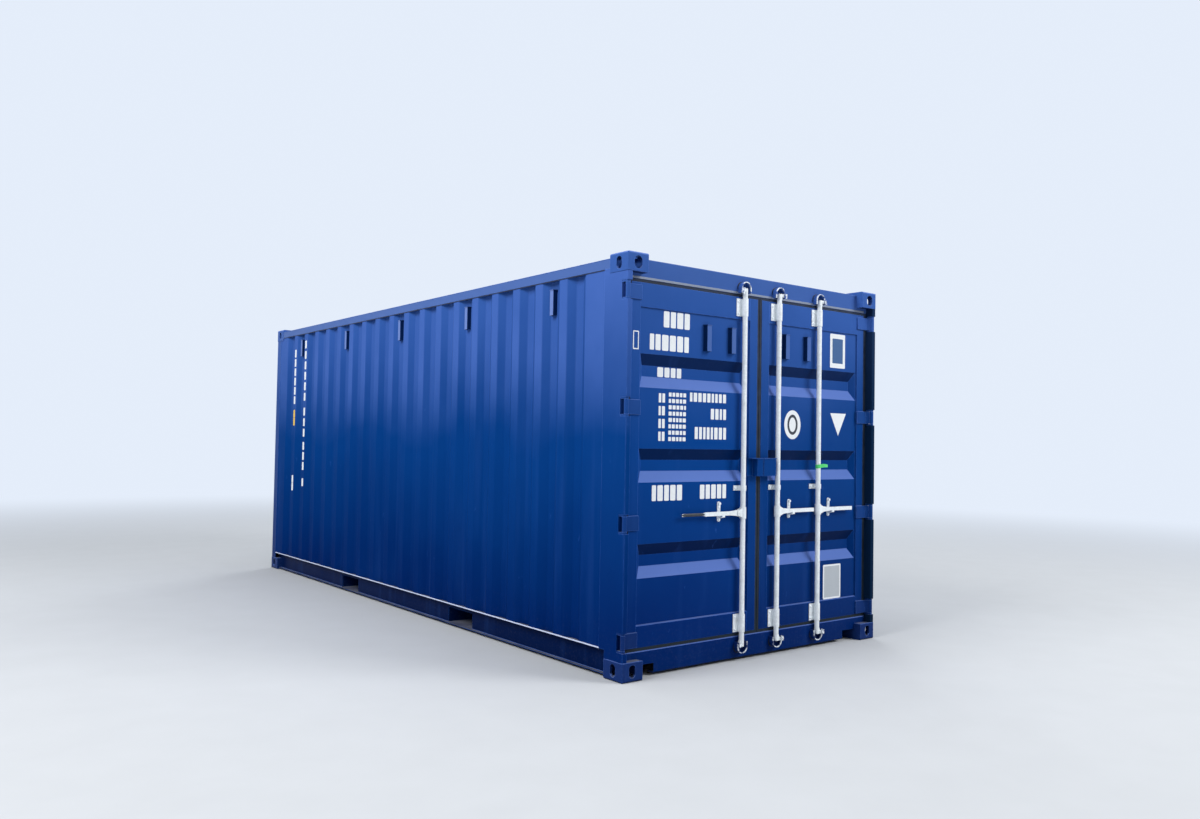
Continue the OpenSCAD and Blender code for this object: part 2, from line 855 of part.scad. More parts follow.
// A ring of rubber round a leaf, with a groove between its two lips
module door_gasket() {
    y0 = door_face + 2;
    y1 = y0 + gasket_t;
    seam = gasket_gap + 0.5;
    side = jamb - gasket_gap;
    low = sill_top + gasket_gap;
    high = header_low - gasket_gap;
    groove = 3;
    // A slab as large as the gasket's outside, less edge all round
    module slab(edge, from, to) {
        block([seam + edge, from, low + edge], [side - edge, to, high - edge]);
    }
    color(rubber) difference() {
        slab(0, y0, y1);
        block([leaf_middle, y0 - overlap, leaf_low], [leaf_side, y1 + overlap, leaf_top]);
        difference() {
            slab(-overlap, y0 + gasket_t * 0.4, y0 + gasket_t * 0.6);
            slab(groove, y0, y1);
        }
    }
}

// A hinge blade in plan: a plate on the stile, and a cranked arm out to the knuckle
module blade_section() {
    end = leaf_side - blade_reach;
    front = door_face - blade_t;
    difference() {
        union() {
            polygon([
                [end + 2, door_face], [end, door_face - 2], [end, front + 2], [end + 2, front],
                [pin_x - 34, front], [pin_x - 13, pin_y + 5], [pin_x, pin_y], [pin_x + 5, pin_y + 13],
                [pin_x - 12, pin_y + 24], [pin_x - 27, door_face - 4], [pin_x - 36, door_face]
            ]);
            translate([pin_x, pin_y]) circle(knuckle_r);
        }
        translate([pin_x, pin_y]) circle(pin_r + running_gap);
    }
}

module door_hinges() {
    color(blue) for (z = hinge_z)
        translate([0, 0, z - blade_high / 2]) linear_extrude(blade_high) blade_section();
}

module door_vents() {
    color(blue) for (x = [vent_inner, vent_outer])
        translate([x, panel_face, 0]) vent_hood(panel_top - door_vent_drop);
}

// A rod bearing from z up: a plate on the face at y, left of the rod, and a sleeve round the rod
module rod_bracket(x, face, z, high) {
    sleeve = rod_r + 4;
    neck = rod_r - 5;
    plate = 6;
    translate([x, 0, z]) linear_extrude(high) difference() {
        union() {
            translate([0, rod_y]) circle(sleeve);
            translate([-neck, rod_y]) square([2 * neck, face - rod_y]);
            translate([-bracket_wide, face - plate]) square([bracket_wide, plate]);
        }
        translate([0, rod_y]) circle(rod_r + running_gap);
    }
}

module rod_brackets(at) {
    color(galvanised) for (x = at) {
        on_stile = x > 0 && x - bracket_wide < panel_in;
        rod_bracket(x, door_face, leaf_top - 12 - bracket_high, bracket_high);
        rod_bracket(x, door_face, leaf_low + 6, bracket_high);
        rod_bracket(x, on_stile ? door_face : panel_face, guide_at - guide_high / 2, guide_high);
    }
}

// A lock rod that turns at the origin, with cams along +X
module lock_rod() {
    flat = 13;
    hook = 26;
    steps = 6;
    rim = [for (i = [0:steps]) turn([cam_reach, 0], 14 - (14 + hook) * i / steps)];
    throat = cam_reach * [[0.68, -0.4], [0.52, -0.34]];
    cam = concat([[0, flat], [cam_reach * 0.5, flat]], rim, throat, [[0, -flat]]);
    long = cam_high - cam_low;
    gusset_t = 16;
    module cam_end() {
        translate([0, 0, -cam_t / 2]) linear_extrude(cam_t) polygon(cam);
        translate([0, gusset_t / 2, cam_t / 2]) rotate([90, 0, 0]) linear_extrude(gusset_t) polygon([
            [0, -overlap], [cam_reach * 0.72, -overlap], [cam_reach * 0.72, 2],
            [rod_r - overlap, gusset_high], [0, gusset_high]
        ]);
    }
    translate([0, 0, -cam_t / 2]) cylinder(r = rod_r, h = long + cam_t);
    cam_end();
    translate([0, 0, long]) mirror([0, 0, 1]) cam_end();
}

// The clevis on a rod that holds its handle's pivot, towards +X
module handle_clevis() {
    ear = 5;
    gap = handle_t / 2 + 1;
    collar = 38;
    upper = [
        [handle_pivot + 13, 9], [handle_pivot + 8, 17], [rod_r + ear, collar - 8], [0, collar - 4]
    ];
    outline = concat([for (i = [len(upper) - 1:-1:0]) [upper[i][0], -upper[i][1]]], upper);
    for (y = [-gap - ear, gap]) translate([0, y + ear, 0]) rotate([90, 0, 0])
        linear_extrude(ear) difference() {
            polygon(outline);
            translate([handle_pivot, 0]) circle(handle_pin_r + running_gap);
        }
    difference() {
        translate([0, 0, -collar]) cylinder(r = rod_r + ear, h = 2 * collar);
        block([rod_r + 1, -gap, -collar - overlap], [handle_pivot, gap, collar + overlap]);
    }
}

module rod_with_clevis() {
    color(galvanised) {
        translate([0, 0, cam_low]) lock_rod();
        translate([0, 0, handle_at]) handle_clevis();
    }
}

// A handle that reaches reach from its rod along +X, its thin end from bar on, with its pivot pin
module handle(reach, bar) {
    tip = handle_wide / 2;
    pin_half = handle_t / 2 + 7;
    thin_t = 6;
    thin_wide = 16;
    flare_end = catch_at - catch_wide / 2 - 12;
    color(galvanised) translate([0, rod_y, handle_at]) {
        translate([handle_pivot, pin_half, 0]) rotate([90, 0, 0])
            cylinder(r = handle_pin_r, h = 2 * pin_half);
        translate([0, handle_t / 2, 0]) rotate([90, 0, 0]) linear_extrude(handle_t) {
            translate([handle_pivot, 0]) circle(12);
            polygon([
                [handle_pivot, -handle_root / 2], [flare_end, -tip], [bar, -tip],
                [bar, tip], [flare_end, tip], [handle_pivot, handle_root / 2]
            ]);
        }
        if (reach > bar) block([bar, -thin_t / 2, -thin_wide / 2], [reach, thin_t / 2, thin_wide / 2]);
    }
}

// A catch for a handle at x: a plate with round ends on the panel, a shelf with a lip under the
// handle, and the boss of its hasp above it
module handle_catch(x) {
    plate = 5;
    half = catch_wide / 2;
    back = panel_face - rod_y;
    shelf = -handle_wide / 2 - catch_gap;
    lip = -handle_t / 2 - catch_gap;
    shelf_path = [
        [back - plate, shelf], [lip, shelf], [lip, shelf + catch_gap + 6],
        [lip - plate, shelf + catch_gap + 6], [lip - plate, shelf - plate], [back - plate, shelf - 3 * plate]
    ];
    color(galvanised) translate([x, rod_y, handle_at]) {
        translate([0, back, 0]) rotate([90, 0, 0]) linear_extrude(plate) union() {
            translate([0, catch_above - half]) circle(half);
            translate([0, half - catch_below]) circle(half);
            translate([-half, half - catch_below])
                square([catch_wide, catch_above + catch_below - catch_wide]);
        }
        along_x(-half + 3, half - 3) polygon(shelf_path);
        translate([0, back - plate, catch_above - half]) rotate([90, 0, 0])
            cylinder(r = half - 5, h = back - 2 * plate - handle_t / 2 - catch_gap);
    }
}

// Half a lock box on the right door, from the seam to x: open below for the padlock, under a lid
// that stands out in front, and beyond x by reach
module box_half(x, reach) {
    front = -half_l + inset + box_lid;
    low = box_at - box_high / 2;
    color(blue) {
        difference() {
            block([box_split / 2, front, low], [x, door_face, low + box_high]);
            block(
                [box_split / 2 - overlap, front + box_t, low - overlap],
                [x - box_t, door_face - box_t, low + box_high - box_t]
            );
        }
        block(
            [box_split / 2, front - box_lid, low + box_high],
            [x + reach, door_face, low + box_high + box_t]
        );
    }
}

module right_lock_box() {
    box_half(box_right, box_lid);
}

module left_lock_box() {
    on_left() {
        box_half(box_left, box_plate);
        color(blue) block(
            [box_left, door_face - box_t, box_at - box_high / 2],
            [box_left + box_plate, door_face, box_at + box_high / 2]
        );
    }
}

module on_left() {
    mirror([1, 0, 0]) children();
}

module rod_at(x) {
    translate([x, rod_y, 0]) rod_with_clevis();
}

top_corner_castings();
bottom_corner_castings();
door_corner_posts();
blind_corner_posts();
top_side_rails();
blind_top_rail();
door_header();
bottom_side_rails();
blind_bottom_rail();
door_sill();
cross_members();
fork_pockets();
floor_boards();  // floor
left_side_wall();
right_side_wall();
blind_end_wall();
roof();
roof_end_plates();
side_vents();
frame_hinges();
cam_keepers();
on_left() door_stiles();  // left_door_stiles
on_left() door_rails();  // left_door_rails
on_left() door_panel();  // left_door_panel
on_left() door_gasket();  // left_door_gasket
on_left() door_hinges();  // left_door_hinges
on_left() door_vents();  // left_door_vents
rod_brackets([-rod_inner]);  // left_rod_brackets
handle_catch(-rod_inner - long_catch_at);  // left_handle_catch
left_lock_box();
on_left() rod_at(rod_inner);  // left_rod
on_left() translate([rod_inner, 0, 0]) handle(long_handle, handle_thin);  // left_handle
door_stiles();  // right_door_stiles
door_rails();  // right_door_rails
door_panel();  // right_door_panel
door_gasket();  // right_door_gasket
door_hinges();  // right_door_hinges
door_vents();  // right_door_vents
rod_brackets([rod_inner, rod_outer]);  // right_rod_brackets
for (x = [rod_inner, rod_outer]) handle_catch(x + catch_at);  // right_handle_catches
right_lock_box();
rod_at(rod_inner);  // inner_rod
translate([rod_inner, 0, 0]) handle(handle_long, handle_long);  // inner_handle
rod_at(rod_outer);  // outer_rod
translate([rod_outer, 0, 0]) handle(handle_long, handle_long);  // outer_handle
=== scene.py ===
"""The looks of a twenty-foot steel shipping container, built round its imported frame.

Metres, +Z up. The doors face -Y, and the blind end faces +Y.
"""

import json
import math
import random

import bmesh
import bpy
from bpy.props import FloatProperty, FloatVectorProperty, IntProperty, PointerProperty
from mathutils import Matrix, Vector


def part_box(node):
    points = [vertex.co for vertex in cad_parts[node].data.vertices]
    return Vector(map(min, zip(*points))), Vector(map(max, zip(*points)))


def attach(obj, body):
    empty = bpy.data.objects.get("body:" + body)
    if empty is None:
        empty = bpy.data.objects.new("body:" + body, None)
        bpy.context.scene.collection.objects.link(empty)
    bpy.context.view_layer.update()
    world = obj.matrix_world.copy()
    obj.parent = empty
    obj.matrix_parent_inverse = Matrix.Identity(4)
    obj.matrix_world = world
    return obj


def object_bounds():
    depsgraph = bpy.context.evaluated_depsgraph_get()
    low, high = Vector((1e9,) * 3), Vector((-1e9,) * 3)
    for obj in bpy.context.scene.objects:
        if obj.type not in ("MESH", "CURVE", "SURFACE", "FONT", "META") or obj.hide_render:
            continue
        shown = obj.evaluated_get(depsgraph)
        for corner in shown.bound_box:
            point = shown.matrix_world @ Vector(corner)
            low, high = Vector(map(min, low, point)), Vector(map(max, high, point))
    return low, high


bl_info = {
    "name": "Shipping container",
    "version": (1, 0, 0),
    "blender": (4, 5, 0),
    "location": "View3D > Sidebar > Container",
    "description": "Finishes, markings, fixings and stage for a steel shipping container",
    "category": "Object",
}

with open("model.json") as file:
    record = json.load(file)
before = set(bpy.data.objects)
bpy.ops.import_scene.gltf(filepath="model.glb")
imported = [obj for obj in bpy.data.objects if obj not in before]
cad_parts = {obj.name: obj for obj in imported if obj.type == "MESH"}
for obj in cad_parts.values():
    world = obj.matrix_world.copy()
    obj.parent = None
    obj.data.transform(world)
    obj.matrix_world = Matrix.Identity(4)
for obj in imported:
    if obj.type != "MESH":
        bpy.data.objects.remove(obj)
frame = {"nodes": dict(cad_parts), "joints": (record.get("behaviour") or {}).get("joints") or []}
cad_low, cad_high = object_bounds()

MM = 0.001
# From the container's end to a lock rod's axis, and from there to the front of a keeper's cup
ROD_END = 34 * MM
KEEPER_FRONT = 14 * MM
ROD_RADIUS = 17 * MM
DOORS = ("left_door", "right_door")
SIDE_WALLS = {-1: "left_side_wall", 1: "right_side_wall"}
# Ways that a bolt, a rivet or a screw faces
TO_FRONT, TO_BACK, TO_SKY = (0, -1, 0), (0, 1, 0), (0, 0, 1)

# The CAD nodes that take each finish
NODE_FINISHES = {
    "container_blue": (
        "blind_corner_posts", "door_sill", "left_lock_box", "right_lock_box",
        "right_door_stiles", "right_door_rails", "right_door_panel",
    ),
    "cast_blue": ("top_corner_castings", "bottom_corner_castings"),
    "underside_blue": ("cross_members", "fork_pockets"),
    "galvanised_zinc": (
        "left_rod_brackets", "left_handle_catch", "left_rod", "left_handle",
        "right_rod_brackets", "right_handle_catches", "inner_rod", "inner_handle",
        "outer_rod", "outer_handle",
    ),
    "black_gasket": ("left_door_gasket", "right_door_gasket"),
    "plywood_floor": ("floor",),
    "worn_keeper": ("cam_keepers",),
    "side_vent_blue": ("side_vents",),
    "post_blue": ("door_corner_posts",),
    "header_blue": ("door_header",),
    "roof_blue": ("roof", "roof_end_plates"),
    "side_wall_blue": ("left_side_wall", "right_side_wall"),
    "end_wall_blue": ("blind_end_wall",),
    "hinge_blue": ("frame_hinges", "left_door_hinges", "right_door_hinges"),
    "top_rail_blue": ("top_side_rails", "blind_top_rail"),
    "low_rail_blue": ("bottom_side_rails", "blind_bottom_rail"),
    "left_leaf_blue": ("left_door_stiles", "left_door_rails", "left_door_panel"),
    "door_vent_blue": ("left_door_vents", "right_door_vents"),
}


# Settings


def shade(name, description, default):
    """A setting that is a colour."""
    return FloatVectorProperty(
        name=name, description=description, default=default, subtype="COLOR", size=3, min=0, max=1
    )


def measure(name, description, least, greatest, default):
    """A setting that is a size in metres."""
    return FloatProperty(
        name=name, description=description, default=default, min=least, max=greatest,
        subtype="DISTANCE", unit="LENGTH",
    )


class ContainerPaint(bpy.types.PropertyGroup):
    """Colours of the finishes"""

    # Painted light and shade: the low, middle and high blues make a gradient from painted shade near the
    # ground to a painted sky reflection near the roof
    low: shade("Low blue", "Paint near the ground, where it is deepest", (0.0006, 0.017, 0.115))
    middle: shade("Middle blue", "Paint at half height", (0.0022, 0.042, 0.205))
    high: shade("High blue", "Paint near the roof, where it has faded", (0.034, 0.100, 0.360))
    # The crest blue is a painted highlight on the side walls' crests and flats near the roof, and on the
    # door posts' tops
    crest_highlight: shade("Crest blue", "Sun-bleached crests of the side walls near the roof", (0.056, 0.128, 0.425))
    # The slope blue is painted sky light on slopes that face the sky
    slope: shade(
        "Slope blue", "Bleached slopes of the door recesses that face the sky",
        (0.135, 0.225, 0.600),
    )
    dust: shade("Dust", "Road dust on the lower parts and on ledges", (0.30, 0.31, 0.34))
    zinc: shade("Zinc", "Galvanised rods, brackets and handles", (0.86, 0.91, 0.95))
    marking: shade("Marking", "White of the markings and stickers", (0.80, 0.83, 0.86))


class ContainerMarks(bpy.types.PropertyGroup):
    """Sizes of the markings and plates"""

    film: measure("Film", "Thickness of a marking or sticker", 0.0001, 0.002, 0.0006)
    gap: measure("Gap", "Gap between two blocks of a marking", 0.004, 0.04, 0.016)
    seed: IntProperty(name="Seed", description="Seed of the widths of the blocks", default=4, min=0)


class ContainerFixings(bpy.types.PropertyGroup):
    """Sizes of the bolts, rivets, screws and welds"""

    bolt: measure("Bolt", "Radius of a bolt head", 0.004, 0.016, 0.0075)
    rivet: measure("Rivet", "Radius of a rivet head", 0.002, 0.01, 0.0042)
    screw: measure("Screw", "Radius of a floor screw's head", 0.003, 0.012, 0.007)
    bead: measure("Bead", "Radius of a weld bead", 0.001, 0.008, 0.0032)


class ContainerStage(bpy.types.PropertyGroup):
    """Floor, light and camera"""

    floor: shade("Floor", "Colour of the floor", (0.52, 0.54, 0.57))
    sky: shade("Background", "Colour behind the object", (0.78, 0.85, 0.96))
    fill: FloatProperty(
        name="Fill", description="Strength of the light from all round", min=0, max=2, default=0.42
    )
    lens: FloatProperty(
        name="Lens", description="Focal length of the camera, on a 36 mm sensor",
        unit="CAMERA", min=10, max=200, default=28.6,
    )


# Node helpers


def add(tree, kind, inputs=None, **settings):
    """A new node with its settings and inputs; an input is a value or a socket to link."""
    node = tree.nodes.new(kind)
    for key, value in settings.items():
        setattr(node, key, value)
    for key, value in (inputs or {}).items():
        if isinstance(value, bpy.types.NodeSocket):
            tree.links.new(value, node.inputs[key])
        else:
            node.inputs[key].default_value = value
    return node


def tree_of(*values):
    """The node tree of the first socket among values."""
    return next(value.id_data for value in values if isinstance(value, bpy.types.NodeSocket))


def calc(operation, a, b=0.0):
    return add(tree_of(a, b), "ShaderNodeMath", {0: a, 1: b}, operation=operation).outputs[0]


def times(a, b):
    return calc("MULTIPLY", a, b)


def most(a, b):
    return calc("MAXIMUM", a, b)


def mix(share, a, b, blend="MIX"):
    """Colour a where share is 0 and colour b where it is 1."""
    inputs = {0: share, 6: a, 7: b}
    node = add(tree_of(share, a, b), "ShaderNodeMix", inputs, data_type="RGBA", blend_type=blend)
    return node.outputs[2]


def fit(value, low, high, out_low=0.0, out_high=1.0, smooth=False):
    """value, from low to high, mapped to out_low to out_high and held there."""
    node = add(
        value.id_data, "ShaderNodeMapRange",
        {"Value": value, "From Min": low, "From Max": high, "To Min": out_low, "To Max": out_high},
        interpolation_type="SMOOTHSTEP" if smooth else "LINEAR",
    )
    return node.outputs["Result"]


def object_place(tree):
    return add(tree, "ShaderNodeTexCoord").outputs["Object"]


def coordinates(tree, stretch=(1, 1, 1)):
    """Object coordinates, stretched."""
    inputs = {"Vector": object_place(tree), "Scale": stretch}
    return add(tree, "ShaderNodeMapping", inputs).outputs["Vector"]


def noise(tree, scale, detail, stretch=(1, 1, 1), rough=0.55):
    place = coordinates(tree, stretch)
    inputs = {"Vector": place, "Scale": scale, "Detail": detail, "Roughness": rough}
    return add(tree, "ShaderNodeTexNoise", inputs).outputs["Fac"]


def patches(tree, scale, detail, low=0.0, high=1.0, span=(0.3, 0.7), **kind):
    """A noise whose values over span become low to high."""
    return fit(noise(tree, scale, detail, **kind), *span, low, high)


def parts_of(vector):
    """The X, Y and Z outputs of a vector."""
    return add(vector.id_data, "ShaderNodeSeparateXYZ", {"Vector": vector}).outputs


def height_of(tree):
    return parts_of(object_place(tree))["Z"]


def surface_normal(tree):
    return add(tree, "ShaderNodeNewGeometry").outputs["Normal"]


def facing(tree, low, high):
    """How far a face looks up: 0 where its normal's Z is low, 1 where it is high."""
    return fit(parts_of(surface_normal(tree))["Z"], low, high)


def softened(tree, radius):
    """The normal of the surface, with its edges rounded by radius."""
    return add(tree, "ShaderNodeBevel", {"Radius": radius}, samples=4).outputs[0]


def edge_share(tree, reach):
    """1 along the edges of the shape, within about reach of them, and 0 elsewhere."""
    inputs = {0: softened(tree, reach), 1: surface_normal(tree)}
    match = add(tree, "ShaderNodeVectorMath", inputs, operation="DOT_PRODUCT")
    return fit(match.outputs["Value"], 0.985, 0.90)


def rgba(colour, strength=1.0):
    """An opaque colour, scaled by strength."""
    return (*(strength * c for c in colour), 1.0)


def new_material(name, specular=0.5, metallic=0.0):
    """A material and its tree, with the constants of its Principled shader."""
    material = bpy.data.materials.new(name)
    material.use_nodes = True
    tree = material.node_tree
    shader = tree.nodes["Principled BSDF"]
    shader.inputs["Metallic"].default_value = metallic
    shader.inputs["Specular IOR Level"].default_value = specular
    return material, tree


def dress(material, colour, roughness, height, strength, distance, soft_edges=0.0):
    """Gives a material its colour, its roughness and its relief, with edges rounded by soft_edges."""
    tree = material.node_tree
    inputs = {"Height": height, "Strength": strength, "Distance": distance}
    if soft_edges:
        inputs["Normal"] = softened(tree, soft_edges)
    relief = add(tree, "ShaderNodeBump", inputs).outputs["Normal"]
    shader = tree.nodes["Principled BSDF"]
    for socket, name in ((colour, "Base Color"), (roughness, "Roughness"), (relief, "Normal")):
        tree.links.new(socket, shader.inputs[name])
    return material


# Materials

# Heights above the ground, in metres, between which the paint changes
LOW_FADE = (0.15, 1.35)
HIGH_FADE = (1.45, 2.5)
CREST_FADE = (1.40, 2.15)
SPLASHED = (0.45, 0.02)
LOW_LEDGES = (0.45, 0.25)
EDGE_FADE = (0.2, 2.4)
KEEPER_FADE = (0.3, 2.4)
RUBBER_FADE = (0.3, 2.3)

# Along X, where the painted shade of the right-hand door post starts and is full
JAMB_EDGE = (1.10, 1.14)

# Colours that no setting changes
BLUE_SHEEN = (0.06, 0.32, 1.0, 1)
GREYED_BLUE = (0.125, 0.190, 0.400, 1)
# Painted shade on the right-hand door post
JAMB_SHADE = (0.004, 0.014, 0.030, 1)
RUST = (0.16, 0.06, 0.02, 1)
RUBBER = (0.003, 0.006, 0.012, 1)
# The gasket lips' dust, darker low down and paler high up: dust with painted shade and painted light
LOW_LIP_DUST_AND_SHADE = (0.012, 0.022, 0.034, 1)
HIGH_LIP_DUST_AND_LIGHT = (0.030, 0.045, 0.085, 1)
DARK_GRAIN = (0.30, 0.17, 0.075, 1)
PALE_GRAIN = (0.42, 0.26, 0.125, 1)
BOOT_SCUFF = (0.17, 0.12, 0.08, 1)
DARK_ALUMINIUM = (0.36, 0.39, 0.42, 1)
PALE_ALUMINIUM = (0.56, 0.59, 0.62, 1)


def crest_share(tree, node, axis):
    """How much painted highlight the flats of a corrugated wall take: the crests most, and only near the
    roof.
    """
    inner, outer = sorted(abs(getattr(corner, axis.lower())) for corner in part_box(node))
    place = parts_of(object_place(tree))[axis]
    depth = calc("ABSOLUTE", place)
    crest_highlight = fit(depth, outer - 5 * MM, outer - 1 * MM)
    trough = fit(depth, inner + 7 * MM, inner + 3 * MM, 0.0, 0.55)
    outside = fit(times(place, parts_of(surface_normal(tree))[axis]), 0.0, 0.3)
    near_roof = times(fit(height_of(tree), *CREST_FADE, smooth=True), patches(tree, 1.6, 4.0, 0.6, 1.0))
    return times(times(most(crest_highlight, trough), near_roof), outside)


def silt_share(tree, node):
    """How much dust lies on a ribbed roof: a film that the rain leaves between the ribs."""
    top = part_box(node)[1].z
    groove = fit(height_of(tree), top - 6 * MM, top - 18 * MM, smooth=True)
    return times(groove, patches(tree, 2.4, 7.0, 0.12, 0.40, span=(0.25, 0.75), stretch=(1, 0.6, 1)))


def jamb_share(tree):
    """1 on the front and inner faces of the right-hand post, which take painted shade."""
    right = fit(parts_of(object_place(tree))["X"], *JAMB_EDGE)
    normal = parts_of(surface_normal(tree))
    return times(right, most(fit(normal["Y"], -0.4, -0.8), fit(normal["X"], -0.4, -0.8)))


def container_paint(
    paint, name, specular=0.05, cast=False, dirt=1.0, edge_wear_and_highlight=1.0, grey=0.0, deep=1.0,
    wall=None, front=None, jamb=False, lit=False, ribbed=None,
):
    """Blue paint: painted darker low down and paler upwards, as painted shade and a painted sky reflection,
    with rain streaks, chips, edges worn and painted paler, and dust on ledges.

    deep darkens it and grey dulls it. wall is a corrugated wall's node and the axis it faces along,
    whose crests and flats near the roof take a painted highlight. front is the axis that a hood
    faces along and the paler colour of its front, as painted light, and its other faces are painted
    dark as painted shade. jamb paints shade on the right-hand post beside the doors, and the flag
    after it gives the top the crests' painted highlight near the roof. ribbed is a ribbed roof's
    node, whose dust lies between its ribs.
    """
    material, tree = new_material(name, specular)
    tree.nodes["Principled BSDF"].inputs["Specular Tint"].default_value = BLUE_SHEEN
    height = height_of(tree)
    # Painted light and shade: the blue goes from painted shade near the ground to a painted sky reflection
    # near the roof, and to the crests' painted highlight on a flagged top
    place = calc("ADD", height, patches(tree, 0.8, 4.0, -0.22, 0.22))
    colour = mix(fit(place, *LOW_FADE), rgba(paint.low, deep), rgba(paint.middle, deep))
    colour = mix(fit(place, *HIGH_FADE), colour, rgba(paint.crest_highlight if lit else paint.high))
    if grey:
        colour = mix(grey, colour, GREYED_BLUE)
    # Painted highlight on a corrugated wall's crests and flats near the roof
    if wall:
        colour = mix(crest_share(tree, *wall), colour, rgba(paint.crest_highlight))

    # Painted light: slopes that face the sky are painted paler as sky light, and those that face the ground
    # are painted darker as painted shade
    lightened = times(facing(tree, 0.1, 0.5), facing(tree, 0.95, 0.6))
    colour = mix(times(lightened, 0.85), colour, rgba(paint.slope))
    colour = mix(times(facing(tree, -0.1, -0.4), 0.8), colour, rgba(paint.low, 0.25))

    # Rain streaks, then mud splashed up from the ground and dust on what faces up
    streak = patches(tree, 9.0, 5.0, 0.0, 0.16 * dirt, span=(0.55, 0.80), stretch=(1, 1, 0.06))
    colour = mix(streak, colour, rgba(paint.high))
    splash = times(patches(tree, 60.0, 6.0, span=(0.52, 0.70)), fit(height, *SPLASHED))
    ledge_dust = patches(tree, 5.0, 5.0, 0.04, 0.08 if ribbed else 0.35, span=(0.35, 0.7))
    ledge_dust = calc("ADD", ledge_dust, fit(height, *LOW_LEDGES, 0.0, 0.15))
    dirty = most(times(splash, 0.03 * dirt), times(facing(tree, 0.7, 0.95), ledge_dust))
    if ribbed:
        dirty = most(dirty, silt_share(tree, ribbed))
    colour = mix(dirty, colour, rgba(paint.dust))

    # Rubbed patches, and edges painted paler: partly wear, partly a painted highlight along the edges
    rub = patches(tree, 14.0, 8.0, 0.0, 0.3, span=(0.66, 0.74), stretch=(1, 1, 0.5), rough=0.7)
    colour = mix(rub, colour, rgba(paint.high, 1.4))
    scuffs_and_highlights = patches(tree, 11.0, 6.0, 0.15 * edge_wear_and_highlight, min(0.8 * edge_wear_and_highlight, 1.0), span=(0.3, 0.55))
    low_edge = rgba([2.2 * c + 0.02 * edge_wear_and_highlight for c in paint.middle])
    high_edge = rgba([2.0 * c + 0.06 for c in paint.high])
    pale = mix(fit(height, *EDGE_FADE), low_edge, high_edge)
    colour = mix(times(edge_share(tree, 4 * MM), scuffs_and_highlights), colour, pale)
    # Painted light and shade on a hood: its front takes the paler colour, and its other faces are painted
    # dark
    if front:
        axis, lit_front_colour = front
        ahead = calc("ABSOLUTE", parts_of(surface_normal(tree))[axis])
        colour = mix(fit(ahead, 0.9, 0.97, 0.0, 0.85), colour, rgba(lit_front_colour))
        colour = mix(fit(ahead, 0.9, 0.6, 0.0, 0.9), colour, rgba(paint.middle, 0.22))
    # Painted shade on the right-hand post's front and inner faces
    if jamb:
        colour = mix(times(jamb_share(tree), 0.88), colour, JAMB_SHADE)

    gloss = calc("ADD", patches(tree, 3.0, 6.0, 0.30, 0.44), times(dirty, 0.4))
    if cast:
        return dress(material, colour, gloss, noise(tree, 140.0, 6.0), 0.55, 0.0012, 0.004)
    orange_peel = times(noise(tree, 420.0, 2.0), 0.012)
    rise = calc("ADD", orange_peel, noise(tree, 2.6, 2.0))
    return dress(material, colour, gloss, rise, 0.35, 0.010, 0.0025)


def worn_keeper(name):
    """A keeper's paint, rubbed through to bright steel on its front rim by the cam."""
    paint = bpy.context.scene.container_paint
    material, tree = new_material(name, 0.3)
    front = cad_low.y + (ROD_END - KEEPER_FRONT)
    rim = fit(parts_of(object_place(tree))["Y"], front + 9 * MM, front + 2 * MM)
    rubbed = times(rim, patches(tree, 40.0, 5.0, span=(0.40, 0.54)))
    # The blue goes from painted shade low down to a painted sky reflection high up, as on the container's
    # paint
    blue = mix(fit(height_of(tree), *KEEPER_FADE), rgba(paint.low), rgba(paint.high))
    blue = mix(patches(tree, 30.0, 5.0, 0.0, 0.5, span=(0.4, 0.7)), blue, rgba(paint.low))
    colour = mix(rubbed, blue, rgba(paint.zinc))
    gloss = patches(tree, 30.0, 5.0, 0.38, 0.55)
    return dress(material, colour, gloss, noise(tree, 200.0, 4.0), 0.3, 0.0008, 0.0015)


def galvanised_zinc(paint, name, tone):
    """Zinc coating: pale, with crystals, dull patches and a few rust runs."""
    material, tree = new_material(name, 0.5, 0.12)
    crystals = add(tree, "ShaderNodeTexVoronoi", {"Vector": coordinates(tree), "Scale": 120.0})
    grain = add(tree, "ShaderNodeSeparateColor", {"Color": crystals.outputs["Color"]}).outputs["Red"]
    colour = mix(fit(grain, 0, 1, 0.0, 0.55), rgba(paint.zinc, tone), rgba(paint.zinc, 0.80 * tone))
    dull = patches(tree, 18.0, 6.0, 0.0, 0.45, span=(0.50, 0.80))
    colour = mix(dull, colour, rgba(paint.zinc, 0.55))
    rust = patches(tree, 34.0, 8.0, 0.0, 0.8, span=(0.67, 0.76), stretch=(1, 1, 0.35), rough=0.7)
    colour = mix(rust, colour, RUST)
    gloss = patches(tree, 30.0, 5.0, 0.36, 0.58)
    return dress(material, colour, gloss, noise(tree, 260.0, 4.0), 0.25, 0.0008, 0.0015)


def gasket_rubber(name):
    """Black rubber, with dust on its lips, painted paler high up and darker low down as painted light and
    shade.
    """
    material, tree = new_material(name, 0.2)
    dusty = patches(tree, 12.0, 6.0, 0.1, 1.0, span=(0.25, 0.7))
    dust = mix(fit(height_of(tree), *RUBBER_FADE), LOW_LIP_DUST_AND_SHADE, HIGH_LIP_DUST_AND_LIGHT)
    gloss = fit(dusty, 0, 1, 0.55, 0.85)
    return dress(material, mix(dusty, RUBBER, dust), gloss, noise(tree, 300.0, 3.0), 0.3, 0.0006)


